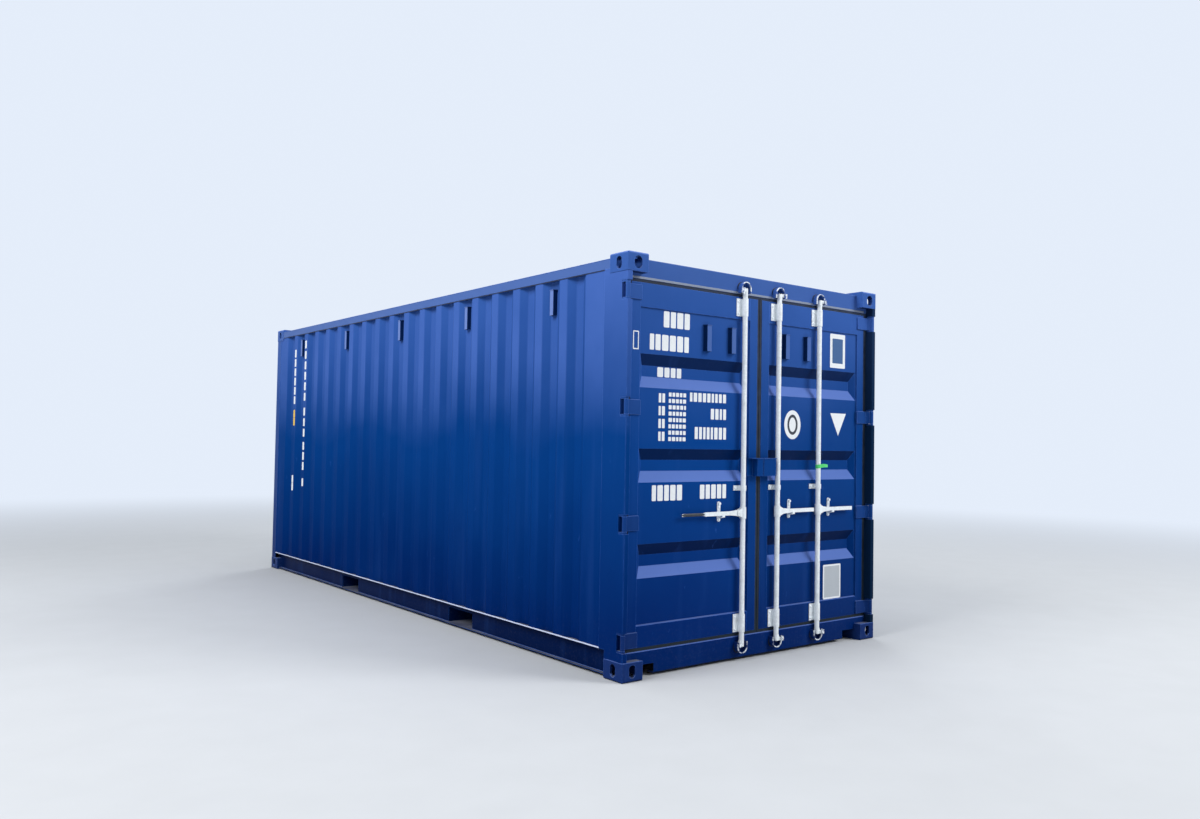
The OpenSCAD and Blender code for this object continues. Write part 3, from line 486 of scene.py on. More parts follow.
def plywood(name):
    """Floor boards across the hold: long grain along X, board joints and boot scuffs."""
    material, tree = new_material(name, 0.4)
    wave = {"Vector": coordinates(tree, (0.6, 14.0, 1.0)), "Scale": 3.0, "Distortion": 9.0, "Detail": 4.0}
    grain = add(tree, "ShaderNodeTexWave", wave, bands_direction="Y").outputs["Fac"]
    boards = add(
        tree, "ShaderNodeTexBrick",
        {
            "Vector": coordinates(tree), "Color1": (0.8, 0.8, 0.8, 1), "Color2": (1, 1, 1, 1),
            "Mortar": (0.12, 0.12, 0.12, 1), "Scale": 1.0, "Mortar Size": 0.003,
            "Brick Width": 2.4, "Row Height": 1.16,
        },
    ).outputs["Color"]
    colour = mix(1.0, mix(grain, DARK_GRAIN, PALE_GRAIN), boards, "MULTIPLY")
    scuffed = patches(tree, 2.2, 7.0, 0.0, 0.55, span=(0.5, 0.75), rough=0.65)
    colour = mix(scuffed, colour, BOOT_SCUFF)
    return dress(material, colour, fit(grain, 0, 1, 0.5, 0.68), grain, 0.2, 0.0008)


def printed_film(name, colour, worn):
    """A marking's paint or a sticker's vinyl, scuffed and a little dusty."""
    material, tree = new_material(name, 0.4)
    scuff = patches(tree, 70.0, 8.0, 0.0, worn, span=(0.52, 0.72), rough=0.7)
    colour = mix(scuff, rgba(colour), rgba([0.45 * c + 0.02 for c in colour]))
    gloss = patches(tree, 25.0, 4.0, 0.38, 0.55)
    return dress(material, colour, gloss, noise(tree, 300.0, 3.0), 0.12, 0.0004)


def brushed_plate(name):
    """A bare aluminium plate, brushed sideways."""
    material, tree = new_material(name, 0.5, 0.55)
    hair = noise(tree, 60.0, 6.0, stretch=(1, 1, 24))
    colour = mix(hair, DARK_ALUMINIUM, PALE_ALUMINIUM)
    return dress(material, colour, fit(hair, 0.3, 0.7, 0.4, 0.55), hair, 0.1, 0.0004)


def moulded_plastic(name, specular, mottle, dark, pale, gloss, grain, strength, distance):
    """Moulded plastic: mottle is the noise between its colours, gloss that of its roughness."""
    material, tree = new_material(name, specular)
    colour = mix(noise(tree, *mottle), dark, pale)
    return dress(material, colour, patches(tree, *gloss), noise(tree, grain, 2.0), strength, distance)


# What container_paint is told for each blue finish
BLUES = {
    "container_blue": {},
    # The castings' edges are painted paler: wear and a painted highlight
    "cast_blue": {"cast": True, "edge_wear_and_highlight": 3.2, "grey": 0.06},
    # The post's top takes the crests' painted highlight, and its right-hand faces take painted shade
    "post_blue": {"specular": 0.01, "jamb": True, "lit": True},
    # The walls' crests and flats take a painted highlight near the roof
    "side_wall_blue": {"specular": 0.003, "edge_wear_and_highlight": 0.1, "wall": ("left_side_wall", "X")},
    "end_wall_blue": {"specular": 0.003, "edge_wear_and_highlight": 0.1, "wall": ("blind_end_wall", "Y")},
    "roof_blue": {"ribbed": "roof"},
    "top_rail_blue": {"grey": 0.40},
    # The left leaf is the right leaf's blue painted brighter: painted light
    "left_leaf_blue": {"deep": 1.2},
    "header_blue": {"grey": 0.18},
    # The bottom rails are painted darker: painted shade
    "low_rail_blue": {"specular": 0.02, "deep": 0.45},
    # The hinges' edges are painted paler: wear and a painted highlight
    "hinge_blue": {"edge_wear_and_highlight": 3.0, "grey": 0.05},
    # The hoods' fronts are painted paler and their other faces darker: painted light and shade
    "side_vent_blue": {"front": ("X", (0.16, 0.24, 0.54))},
    "door_vent_blue": {"front": ("Y", (0.080, 0.150, 0.400))},
    "underside_blue": {"dirt": 2.0, "deep": 0.6},
}
# How bright each zinc finish is
ZINCS = {"galvanised_zinc": 1.0, "plated_fixing": 1.1, "strip_zinc": 0.38}
# Each film's colour, or None for the markings' white, and how worn it is
FILMS = {
    "white_marking": (None, 0.25),
    "yellow_marking": ((0.80, 0.52, 0.05), 0.25),
    "white_sticker": (None, 0.12),
    "blue_sticker": ((0.03, 0.10, 0.26), 0.12),
    "dark_sticker": ((0.03, 0.035, 0.05), 0.12),
    "pale_lip": ((0.20, 0.24, 0.33), 0.5),
    # A painted highlight along the foot of the side walls
    "bright_edge": ((0.58, 0.64, 0.84), 0.35),
    # A painted shadow under the top rails
    "dark_seal": ((0.003, 0.012, 0.050), 0.1),
    # A painted shadow round the cam keepers
    "cam_grease": ((0.004, 0.007, 0.014), 0.1),
}
# What moulded_plastic is told for each plastic
PLASTICS = {
    "tag_plastic": (
        0.5, (90.0, 3.0), (0.05, 0.55, 0.12, 1), (0.12, 0.78, 0.22, 1), (60.0, 3.0, 0.3, 0.45),
        400.0, 0.1, 0.0003,
    ),
    "dark_grip": (
        0.4, (50.0, 5.0), (0.012, 0.014, 0.02, 1), (0.05, 0.055, 0.07, 1), (40.0, 4.0, 0.5, 0.7),
        500.0, 0.25, 0.0005,
    ),
}
OTHER_FINISHES = {
    "worn_keeper": worn_keeper, "black_gasket": gasket_rubber, "plywood_floor": plywood,
    "brushed_plate": brushed_plate,
}


def finish_named(name):
    """A finish, made the first time it is asked for."""
    paint = bpy.context.scene.container_paint
    if name in bpy.data.materials:
        return bpy.data.materials[name]
    if name in BLUES:
        return container_paint(paint, name, **BLUES[name])
    if name in ZINCS:
        return galvanised_zinc(paint, name, ZINCS[name])
    if name in FILMS:
        colour, worn = FILMS[name]
        return printed_film(name, colour or paint.marking, worn)
    if name in PLASTICS:
        return moulded_plastic(name, *PLASTICS[name])
    return OTHER_FINISHES[name](name)


def set_finish(mesh, name):
    mesh.materials.clear()
    mesh.materials.append(finish_named(name))


# Mesh helpers


def add_object(name, data):
    obj = bpy.data.objects.new(name, data)
    bpy.context.scene.collection.objects.link(obj)
    return obj


def piece_from(name, mesh, finish, body):
    """A finished piece: its mesh stands where it belongs, and it rides on its body."""
    set_finish(mesh, finish)
    obj = add_object(name, mesh)
    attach(obj, body)
    return obj


def prism(outline, start, end, axis="Y"):
    """The skin of a block from start to end along X or Y: outline has its other two coordinates."""
    return [[(t, a, b) if axis == "X" else (a, t, b) for a, b in outline] for t in (start, end)], False


def ring(outer, inner, front, back):
    """The skin of a flat frame between two outlines with the same number of points."""
    lines = ((outer, front), (inner, front), (inner, back), (outer, back))
    return [[(x, y, z) for x, z in line] for line, y in lines], True


def mesh_object(name, skins, finish, body):
    """A piece of one or more skins, each its rings of points and whether the last joins the first."""
    bm = bmesh.new()
    for rings, closed in skins:
        loops = [[bm.verts.new(point) for point in points] for points in rings]
        following = loops[1:] + loops[:1] if closed else loops[1:]
        for a, b in zip(loops, following):
            for i in range(len(a)):
                j = (i + 1) % len(a)
                bm.faces.new((a[i], b[i], b[j], a[j]))
        if not closed:
            bm.faces.new(loops[0])
            bm.faces.new(loops[-1][::-1])
    mesh = bpy.data.meshes.new(name)
    bmesh.ops.recalc_face_normals(bm, faces=bm.faces)
    bm.to_mesh(mesh)
    bm.free()
    return piece_from(name, mesh, finish, body)


def inset(rect, by):
    x0, z0, x1, z1 = rect
    return x0 + by, z0 + by, x1 - by, z1 - by


def rounded_rect(x0, z0, x1, z1, radius, steps=3):
    """The outline of a rectangle with rounded corners."""
    points = []
    for cx, cz, start in (
        (x1 - radius, z1 - radius, 0), (x0 + radius, z1 - radius, 90),
        (x0 + radius, z0 + radius, 180), (x1 - radius, z0 + radius, 270),
    ):
        for i in range(steps + 1):
            a = math.radians(start + 90 * i / steps)
            points.append((cx + radius * math.cos(a), cz + radius * math.sin(a)))
    return points


def ellipse(x, z, across, tall, steps=48):
    turns = [2 * math.pi * i / steps for i in range(steps)]
    return [(x + across / 2 * math.cos(a), z + tall / 2 * math.sin(a)) for a in turns]


# Geometry node groups


def new_tree(name, sizes):
    """A geometry node group with named size inputs, and the outputs of its input node."""
    tree = bpy.data.node_groups.new(name, "GeometryNodeTree")
    tree.interface.new_socket("Geometry", in_out="INPUT", socket_type="NodeSocketGeometry")
    for label, value in sizes.items():
        kind = "NodeSocketInt" if isinstance(value, int) else "NodeSocketFloat"
        socket = tree.interface.new_socket(label, in_out="INPUT", socket_type=kind)
        socket.default_value = value
    tree.interface.new_socket("Geometry", in_out="OUTPUT", socket_type="NodeSocketGeometry")
    return tree, add(tree, "NodeGroupInput").outputs


def end_tree(tree, geometry, finish):
    """Ends a group in Realize Instances and Set Material."""
    real = add(tree, "GeometryNodeRealizeInstances", {"Geometry": geometry}).outputs[0]
    inputs = {"Geometry": real, "Material": finish_named(finish)}
    painted = add(tree, "GeometryNodeSetMaterial", inputs)
    add(tree, "NodeGroupOutput", {0: painted.outputs[0]})
    return tree


def heads_tree(name, radius, height, sides, dome):
    """Heads of bolts, rivets or screws, one at each point, standing along its facing."""
    tree, given = new_tree(name, {"Radius": radius, "Height": height, "Sides": sides, "Dome": dome})
    shared = {"Vertices": given["Sides"], "Side Segments": 1, "Fill Segments": 1}
    shank = add(
        tree, "GeometryNodeMeshCylinder",
        {**shared, "Radius": given["Radius"], "Depth": given["Height"]},
    )
    top = add(
        tree, "GeometryNodeMeshCone",
        {
            **shared, "Radius Bottom": given["Radius"], "Radius Top": times(given["Radius"], 0.7),
            "Depth": given["Dome"],
        },
    )
    lift = add(tree, "ShaderNodeCombineXYZ", {"Z": times(given["Height"], 0.5)})
    raised = add(
        tree, "GeometryNodeTransform", {"Geometry": top.outputs[0], "Translation": lift.outputs[0]}
    )
    head = add(tree, "GeometryNodeJoinGeometry")
    tree.links.new(shank.outputs[0], head.inputs[0])
    tree.links.new(raised.outputs[0], head.inputs[0])
    way = add(tree, "GeometryNodeInputNamedAttribute", {"Name": "facing"}, data_type="FLOAT_VECTOR")
    turn = add(tree, "FunctionNodeAlignRotationToVector", {"Vector": way.outputs[0]}, axis="Z")
    placed = add(
        tree, "GeometryNodeInstanceOnPoints",
        {"Points": given["Geometry"], "Instance": head.outputs[0], "Rotation": turn.outputs[0]},
    )
    return end_tree(tree, placed.outputs[0], "plated_fixing")


def bead_tree(name, radius, step):
    """A rippled weld bead along every chain of edges."""
    tree, given = new_tree(name, {"Radius": radius, "Step": step, "Ripple": 0.35, "Seed": 3})
    curve = add(tree, "GeometryNodeMeshToCurve", {"Mesh": given["Geometry"]})
    even = add(
        tree, "GeometryNodeResampleCurve",
        {"Curve": curve.outputs[0], "Length": given["Step"]}, mode="LENGTH",
    )
    # Sockets 2 and 3 are the float version's low and high ends
    ends = {2: calc("SUBTRACT", 1.0, given["Ripple"]), 3: 1.0, "Seed": given["Seed"]}
    ripple = add(tree, "FunctionNodeRandomValue", ends, data_type="FLOAT").outputs[1]
    profile = add(
        tree, "GeometryNodeCurvePrimitiveCircle", {"Resolution": 6, "Radius": given["Radius"]}
    )
    solid = add(
        tree, "GeometryNodeCurveToMesh",
        {
            "Curve": even.outputs[0], "Profile Curve": profile.outputs[0], "Scale": ripple,
            "Fill Caps": True,
        },
    )
    return end_tree(tree, solid.outputs[0], "container_blue")


def grown(name, tree, base, finish, body):
    """The mesh that a geometry node group makes of base, as a plain piece."""
    carrier = add_object(name + "_base", base)
    modifier = carrier.modifiers.new("made", "NODES")
    modifier.node_group = tree
    seed = next((i for i in tree.interface.items_tree if i.name == "Seed"), None)
    if seed is not None:
        modifier[seed.identifier] = seed.default_value
    bpy.context.view_layer.update()
    graph = bpy.context.evaluated_depsgraph_get()
    mesh = bpy.data.meshes.new_from_object(carrier.evaluated_get(graph))
    carrier.modifiers.remove(modifier)
    bpy.data.objects.remove(carrier)
    mesh.name = name
    if not mesh.polygons:
        raise RuntimeError(f"{name} came out empty")
    return piece_from(name, mesh, finish, body)


def fastened(name, tree, places, body):
    """Heads of one kind: places is a list of (point, facing)."""
    mesh = bpy.data.meshes.new(name)
    mesh.from_pydata([point for point, _ in places], [], [])
    ways = mesh.attributes.new("facing", "FLOAT_VECTOR", "POINT")
    ways.data.foreach_set("vector", [c for _, way in places for c in way])
    return grown(name, tree, mesh, "plated_fixing", body)


def welded(name, tree, chains, body):
    """Beads along chains: chains is a list of (points, closed)."""
    points, edges = [], []
    for chain, closed in chains:
        start = len(points)
        points += [tuple(p) for p in chain]
        edges += [(start + i, start + i + 1) for i in range(len(chain) - 1)]
        if closed:
            edges.append((start + len(chain) - 1, start))
    mesh = bpy.data.meshes.new(name)
    mesh.from_pydata(points, edges, [])
    return grown(name, tree, mesh, "container_blue", body)


# Reading the frame


def joint_place(name):
    return Vector(next(j for j in frame["joints"] if j["name"] == name)["pos_m"])


def merged_copy(node):
    """A CAD node's mesh with its doubles merged, to read and then free."""
    bm = bmesh.new()
    bm.from_mesh(frame["nodes"][node].data)
    bmesh.ops.remove_doubles(bm, verts=bm.verts, dist=1e-5)
    return bm


def islands(node):
    """The (low, high) corners of each separate solid of a CAD node."""
    bm = merged_copy(node)
    left, found = set(bm.verts), []
    while left:
        group, todo = [], [left.pop()]
        while todo:
            vert = todo.pop()
            group.append(vert.co.copy())
            for edge in vert.link_edges:
                other = edge.other_vert(vert)
                if other in left:
                    left.remove(other)
                    todo.append(other)
        found.append(tuple(Vector([pick(p[i] for p in group) for i in range(3)]) for pick in (min, max)))
    bm.free()
    return sorted(found, key=lambda box: tuple(round(c, 4) for c in box[0]))


def skin_path(node, z, outer):
    """The points of a sheet's outline at height z, on the side that outer picks."""
    bm = merged_copy(node)
    count = {}
    for face in bm.faces:
        if all(abs(v.co.z - z) < 1e-4 for v in face.verts):
            for edge in face.edges:
                count[edge] = count.get(edge, 0) + 1
    follow = {}
    for edge in (e for e, n in count.items() if n == 1):
        for vert in edge.verts:
            follow.setdefault(vert, []).append(edge)
    vert = next(iter(follow))
    loop, used = [], set()
    while True:
        step = next((e for e in follow[vert] if e not in used), None)
        if step is None:
            break
        loop.append(vert.co.copy())
        used.add(step)
        vert = step.other_vert(vert)
    bm.free()
    along = max((0, 1), key=lambda i: max(p[i] for p in loop) - min(p[i] for p in loop))
    low = min(range(len(loop)), key=lambda i: loop[i][along])
    loop = loop[low:] + loop[:low]
    high = max(range(len(loop)), key=lambda i: loop[i][along])
    halves = [loop[: high + 1], [loop[0]] + loop[:high - 1:-1]]
    return max(halves, key=lambda half: sum(outer(p) for p in half) / len(half))


def crest_places(node):
    """The y of each outer crest of a side wall."""
    path = skin_path(node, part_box(node)[0].z, lambda p: abs(p.x))
    out = max(abs(p.x) for p in path)
    flat = sorted(p.y for p in path if abs(abs(p.x) - out) < 1e-4)
    narrowest, widest = 30 * MM, 120 * MM
    return [(a + b) / 2 for a, b in zip(flat, flat[1:]) if narrowest < b - a < widest]


# Pieces


def frame_welds():
    """Weld seams of the walls, the roof and the castings."""
    chains = []
    behind_edge, roof_inset, casting_inset = 3 * MM, 1.5 * MM, 4.5 * MM
    for node, way in (
        ("left_side_wall", Vector((-1, 0, 0))), ("right_side_wall", Vector((1, 0, 0))),
        ("blind_end_wall", Vector((0, 1, 0))),
    ):
        low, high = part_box(node)
        path = skin_path(node, low.z, way.dot)
        # The bead along the foot stays behind the painted highlight strip on the rail's edge
        chains.append(([p - way * behind_edge for p in path], False))
        chains.append(([(p.x, p.y, high.z) for p in path], False))
    for sign, node in SIDE_WALLS.items():
        low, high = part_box(node)
        x = high.x if sign > 0 else low.x
        chains += [([(x, y, low.z), (x, y, high.z)], False) for y in (low.y, high.y)]
    low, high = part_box("roof")
    for x in (low.x + roof_inset, high.x - roof_inset):
        chains.append(([(x, low.y, low.z), (x, high.y, low.z)], False))
    for node in ("top_corner_castings", "bottom_corner_castings"):
        for low, high in islands(node):
            z = low.z if node.startswith("top") else high.z
            x0, y0, x1, y1 = inset((low.x, low.y, high.x, high.y), casting_inset)
            chains.append(([(x0, y0, z), (x1, y0, z), (x1, y1, z), (x0, y1, z)], True))
    return chains


def door_welds(door):
    """Seams round the panel, and round each hinge blade's plate."""
    low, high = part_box(f"{door}_panel")
    corners = ((low.x, low.z), (high.x, low.z), (high.x, high.z), (low.x, high.z))
    chains = [([(x, low.y, z) for x, z in corners], True)]
    stile_low, stile_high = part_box(f"{door}_stiles")
    face = stile_low.y
    for low, high in islands(f"{door}_hinges"):
        edge, inner = (stile_high.x, low.x) if door == "right_door" else (stile_low.x, high.x)
        corners = ((edge, low.z), (inner, low.z), (inner, high.z), (edge, high.z))
        chains.append(([(x, face, z) for x, z in corners], False))
    return chains


def panel_fillet(door):
    """The sloped strip that sheds water where a door's panel stands on its bottom rail."""
    low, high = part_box(f"{door}_panel")
    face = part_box(f"{door}_rails")[0].y
    top = low.z + 8 * MM
    outline = [(face, low.z), (low.y, low.z), (low.y, top), (low.y - 1.5 * MM, top - 1 * MM)]
    return [prism(outline, low.x, high.x, "X")]


def header_lip():
    """The pale lip along the header's lower edge, over the doors' gasket."""
    low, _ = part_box("door_header")
    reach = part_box("right_door_stiles")[1].x
    front, foot = low.y - 1.2 * MM, low.z + 1 * MM
    outline = [(low.y, foot), (front, foot), (front, foot + 12 * MM), (low.y, foot + 14 * MM)]
    return [prism(outline, -reach, reach, "X")]


def wall_strips(z0, z1):
    """A strip along the outside of each side wall's crests, from z0 to z1."""
    skins = []
    for side, node in SIDE_WALLS.items():
        low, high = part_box(node)
        inner = side * (max(abs(low.x), abs(high.x)) + 0.4 * MM)
        outer = inner + side * 2.2 * MM
        outline = [(inner, z0), (outer, z0), (outer, z1 - 1 * MM), (inner, z1)]
        skins.append(prism(outline, low.y, high.y))
    return skins


def keeper_shadow():
    """Painted shadow: a dark sheet on the header and the sill, behind and round each cam keeper."""
    skins = []
    for low, high in islands("cam_keepers"):
        wide, tall = high.x - low.x + 16 * MM, high.z - low.z + 6 * MM
        outline = ellipse((low.x + high.x) / 2, (low.z + high.z) / 2, wide, tall)
        skins.append(prism(outline, high.y - 0.5 * MM, high.y))
    return skins


def bracket_bolts(door):
    """Bolts on the plates of a door's rod brackets and handle catches."""
    side = door.split("_")[0]
    catches = "left_handle_catch" if side == "left" else "right_handle_catches"
    small_plate = 60 * MM
    places = []
    for low, high in islands(f"{side}_rod_brackets"):
        tall = high.z - low.z
        rows = (0.5,) if tall < small_plate else (0.16, 0.84)
        places += [(low.x + 14 * MM, high.y - 8 * MM, low.z + tall * row) for row in rows]
    for low, high in islands(catches):
        x = (low.x + high.x) / 2
        places += [(x, high.y - 7 * MM, z) for z in (low.z + 11 * MM, high.z - 38 * MM)]
    return [(place, TO_FRONT) for place in places]


def floor_screws():
    """Rows of screws over each cross member."""
    low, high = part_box("floor")
    pitch, edge, from_web, sunk = 145 * MM, 60 * MM, 24 * MM, 0.4 * MM
    room = high.x - low.x - 2 * edge
    count = int(room / pitch)
    return [
        ((low.x + edge + room * i / count, member_low.y + from_web, high.z - sunk), TO_SKY)
        for member_low, _ in islands("cross_members") for i in range(count + 1)
    ]


def gasket_strips(door):
    """Metal strips that hold a gasket, on the inside of the leaf, and their rivets."""
    low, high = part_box(f"{door}_stiles")
    width, thick, edge, corner, pitch = 22 * MM, 2 * MM, 6 * MM, 2 * MM, 200 * MM
    leaf = (low.x, low.z, high.x, high.z)
    outer, inner = (rounded_rect(*inset(leaf, by), corner) for by in (edge, edge + width))
    y = high.y + thick
    x0, z0, x1, z1 = inset(leaf, edge + width / 2)
    places = []
    for a, b in (
        ((x0, z0), (x1, z0)), ((x0, z1), (x1, z1)), ((x0, z0), (x0, z1)), ((x1, z0), (x1, z1)),
    ):
        count = max(1, round(math.dist(a, b) / pitch)) + 1
        for i in range(count):
            t = (i + 0.5) / count
            places.append(((a[0] + (b[0] - a[0]) * t, y, a[1] + (b[1] - a[1]) * t), TO_BACK))
    return [ring(outer, inner, high.y, y)], places


def mark_row(rng, gap, x0, x1, z0, z1, blocks, front, back):
    """A row of plain white blocks between x0 and x1, of uneven widths."""
    widths = [rng.uniform(0.6, 1.0) for _ in range(blocks)]
    room = (x1 - x0) - gap * (blocks - 1)
    skins = []
    for width in widths:
        wide = room * width / sum(widths)
        radius = min(wide, z1 - z0) * 0.16
        skins.append(prism(rounded_rect(x0, z0, x0 + wide, z1, radius), front, back))
        x0 += wide + gap
    return skins


def door_markings(marks):
    """Plain white blocks where a container carries its markings, on the left leaf."""
    skins = []
    rng = random.Random(marks.seed)
    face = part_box("left_door_panel")[0].y
    recess = face + 34 * MM
    film = marks.film
    rows = (
        # Left, right, low and high in mm, the number of blocks and the plane they are on
        (-868, -645, 2160, 2262, 4, face),
        (-981, -651, 2012, 2112, 6, face),
        (-886, -682, 1848, 1910, 4, recess),
        (-634, -308, 1702, 1760, 9, face),
        (-446, -306, 1592, 1662, 4, face),
        (-588, -304, 1462, 1540, 8, face),
        (-946, -692, 1072, 1170, 5, face),
        (-535, -297, 1076, 1168, 5, face),
    )
    for *sides, blocks, plane in rows:
        x0, x1, z0, z1 = (side * MM for side in sides)
        skins += mark_row(rng, marks.gap * 0.7, x0, x1, z0, z1, blocks, plane - film, plane)
    # The table of weights: eight rows of small blocks, and a taller pair beside every other row
    table, pair, foot, pitch = (-0.816, -0.668), (-0.900, -0.848), 1446 * MM, 40 * MM
    for i in range(8):
        z0 = foot + i * pitch
        small, tall = z0 + 26 * MM, z0 + 58 * MM
        skins += mark_row(rng, marks.gap * 0.5, *table, z0, small, 5, face - film, face)
        if i % 2 == 0:
            skins += mark_row(rng, marks.gap * 0.6, *pair, z0, tall, 2, face - film, face)
    # The box of the last digit, on the stile
    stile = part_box("left_door_stiles")[0]
    box = (stile.x + 16 * MM, 2.004, stile.x + 62 * MM, 2.118)
    inner = rounded_rect(*inset(box, 7 * MM), 2 * MM)
    return [*skins, ring(rounded_rect(*box, 4 * MM), inner, stile.y - film, stile.y)]


def side_markings(marks):
    """Two columns of plain blocks near the blind end of the left wall, and a yellow tag."""
    crests = crest_places("left_side_wall")
    # The crests nearest to where the photo shows the columns
    near, far = (min(crests, key=lambda y: abs(y - aim)) for aim in (2.19, 2.475))
    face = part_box("left_side_wall")[0].x
    half, block, step, corner = 21 * MM, 82 * MM, 104 * MM, 9 * MM
    white, yellow = [], []
    for skins, y, z0, z1 in (
        (white, far, 1.767, 2.356), (white, far, 0.870, 1.026), (white, near, 1.790, 2.439),
        (white, near, 1.420, 1.745), (white, near, 1.080, 1.390), (white, near, 0.905, 1.027),
        (yellow, far, 1.548, 1.715),
    ):
        count = max(1, round((z1 - z0) / step))
        pitch = (z1 - z0) / count
        for i in range(count):
            low = z0 + i * pitch + (pitch - block) / 2
            outline = rounded_rect(y - half, low, y + half, low + block, corner)
            skins.append(prism(outline, face, face - marks.film, "X"))
    return white, yellow


def plain_stickers(marks):
    """Blank stickers on the right leaf: a square one, a round one and a three-cornered one."""
    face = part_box("right_door_panel")[0].y
    low_film, high_film = face - marks.film, face - 1.6 * marks.film
    disc, outer, inner = (
        ellipse(0.357, 1.577, wide, tall) for wide, tall in ((0.172, 0.204), (0.108, 0.142), (0.070, 0.102))
    )
    square = rounded_rect(0.764, 2.006, 0.936, 2.256, 6 * MM)
    triangle = [(0.772, 1.672), (0.862, 1.508), (0.952, 1.672)]
    white = [prism(outline, low_film, face) for outline in (square, disc, triangle)]
    blue = [prism(rounded_rect(0.790, 2.040, 0.910, 2.222, 4 * MM), high_film, low_film)]
    return white, blue, [ring(outer, inner, high_film, low_film)]


def blank_plate():
    """A blank aluminium plate in a pale frame, with its rivets."""
    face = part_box("right_door_panel")[0].y
    rim_front = face - 2.24 * MM
    outside, edge = (0.705, 0.322, 0.902, 0.570), 12 * MM
    inner = rounded_rect(*inset(outside, edge), 3 * MM)
    plate = [prism(inner, face - 1.6 * MM, face)]
    rim = [ring(rounded_rect(*outside, 8 * MM), inner, rim_front, face)]
    x0, z0, x1, z1 = inset(outside, edge / 2)
    places = [((x, rim_front, z), TO_FRONT) for x in (x0, x1) for z in (z0, (z0 + z1) / 2, z1)]
    return plate, rim, places


def rod_tag():
    """A green plastic tag looped round the outer rod, its tail to the right."""
    axis = joint_place("right_outer_rod_turn")
    height, half, thick, steps = 1.286, 13 * MM, 2.2 * MM, 28
    centre = Vector((axis.x, axis.y, height))
    inner = ROD_RADIUS + 0.3 * MM
    corners = ((inner, -half), (inner + thick, -half), (inner + thick, half), (inner, half))
    loop, tail = [], []
    for i in range(steps):
        a = 2 * math.pi * i / steps
        way = Vector((math.cos(a), math.sin(a), 0))
        tilt = 3 * MM * math.cos(a)
        loop.append([centre + way * r + Vector((0, 0, z + tilt)) for r, z in corners])
    # The tail: a strip that bows and thins towards its end
    length, steps, side, ahead, bow, wave = 70 * MM, 12, 1.2 * MM, 4 * MM, 10 * MM, 4 * MM
    for i in range(steps + 1):
        t = i / steps
        x = centre.x + ROD_RADIUS + thick + length * t
        y = centre.y - ahead - bow * math.sin(t * 2.2)
        z = centre.z + wave * math.sin(t * 3)
        high = half - 3.5 * MM * t * t
        corners = ((-side, -high), (side, -high), (side, high), (-side, high))
        tail.append([(x, y + dy, z + dz) for dy, dz in corners])
    return [(loop, True), (tail, False)]


def handle_sleeve():
    """A dark sleeve over the thin end of the left handle."""
    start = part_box("left_handle")[0].x - 1.5 * MM
    place = joint_place("left_handle_lift")
    length, deep, tall, steps = 197.5 * MM, 4.6 * MM, 9.6 * MM, 16
    rings = []
    for i in range(steps + 1):
        t = i / steps
        swell = 1.0 + 0.10 * math.sin(t * math.pi) - (0.35 if i in (0, steps) else 0)
        around = ellipse(place.y, place.z, 2 * deep * swell, 2 * tall * swell, 20)
        rings.append([(start + length * t, y, z) for y, z in around])
    return [(rings, False)]


# Operators


class ContainerOperator:
    """What the container's operators share."""

    bl_options = {"REGISTER", "UNDO"}


class OBJECT_OT_container_finish(ContainerOperator, bpy.types.Operator):
    """Give every part of the frame its finish"""

    bl_idname = "object.container_finish"
    bl_label = "Finishes"

    def execute(self, context):
        for finish, nodes in NODE_FINISHES.items():
            for name in nodes:
                set_finish(frame["nodes"][name].data, finish)
        return {"FINISHED"}


class OBJECT_OT_container_welds(ContainerOperator, bpy.types.Operator):
    """Lay weld beads along the seams"""

    bl_idname = "object.container_welds"
    bl_label = "Welds"

    def execute(self, context):
        tree = bead_tree("weld bead", context.scene.container_fixings.bead, step=12 * MM)
        welded("frame_welds", tree, frame_welds(), "frame")
        for door in DOORS:
            welded(f"{door}_welds", tree, door_welds(door), door)
            mesh_object(f"{door}_fillet", panel_fillet(door), "container_blue", door)
        return {"FINISHED"}


class OBJECT_OT_container_edges(ContainerOperator, bpy.types.Operator):
    """Add the header's lip, painted highlight strips at the foot of the side walls, painted shadow strips
    under the top rails, and painted shadow round the keepers
    """

    bl_idname = "object.container_edges"
    bl_label = "Edges"

    def execute(self, context):
        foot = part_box("left_side_wall")[0].z
        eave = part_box("top_side_rails")[0].z
        mesh_object("header_lip", header_lip(), "pale_lip", "frame")
        # A painted highlight along the foot of each side wall
        mesh_object("rail_highlight_strips", wall_strips(foot - 3 * MM, foot + 5 * MM), "bright_edge", "frame")
        # A painted shadow under each top rail
        mesh_object("rail_shadow_strips", wall_strips(eave - 7 * MM, eave), "dark_seal", "frame")
        # A painted shadow round each cam keeper
        mesh_object("keeper_shadow", keeper_shadow(), "cam_grease", "frame")
        return {"FINISHED"}


class OBJECT_OT_container_bolts(ContainerOperator, bpy.types.Operator):
    """Bolt the brackets and catches"""

    bl_idname = "object.container_bolts"
    bl_label = "Bolts"

    def execute(self, context):
        radius = context.scene.container_fixings.bolt
        tree = heads_tree("bolt heads", radius, height=5 * MM, sides=6, dome=1.2 * MM)
        for door in DOORS:
            fastened(f"{door}_bolts", tree, bracket_bolts(door), door)
        return {"FINISHED"}


class OBJECT_OT_container_floor_screws(ContainerOperator, bpy.types.Operator):
    """Screw the floor to the cross members"""

    bl_idname = "object.container_floor_screws"
    bl_label = "Floor screws"

    def execute(self, context):
        radius = context.scene.container_fixings.screw
        tree = heads_tree("floor screws", radius, height=1.6 * MM, sides=8, dome=0.4 * MM)
        fastened("floor_screws", tree, floor_screws(), "frame")
        return {"FINISHED"}


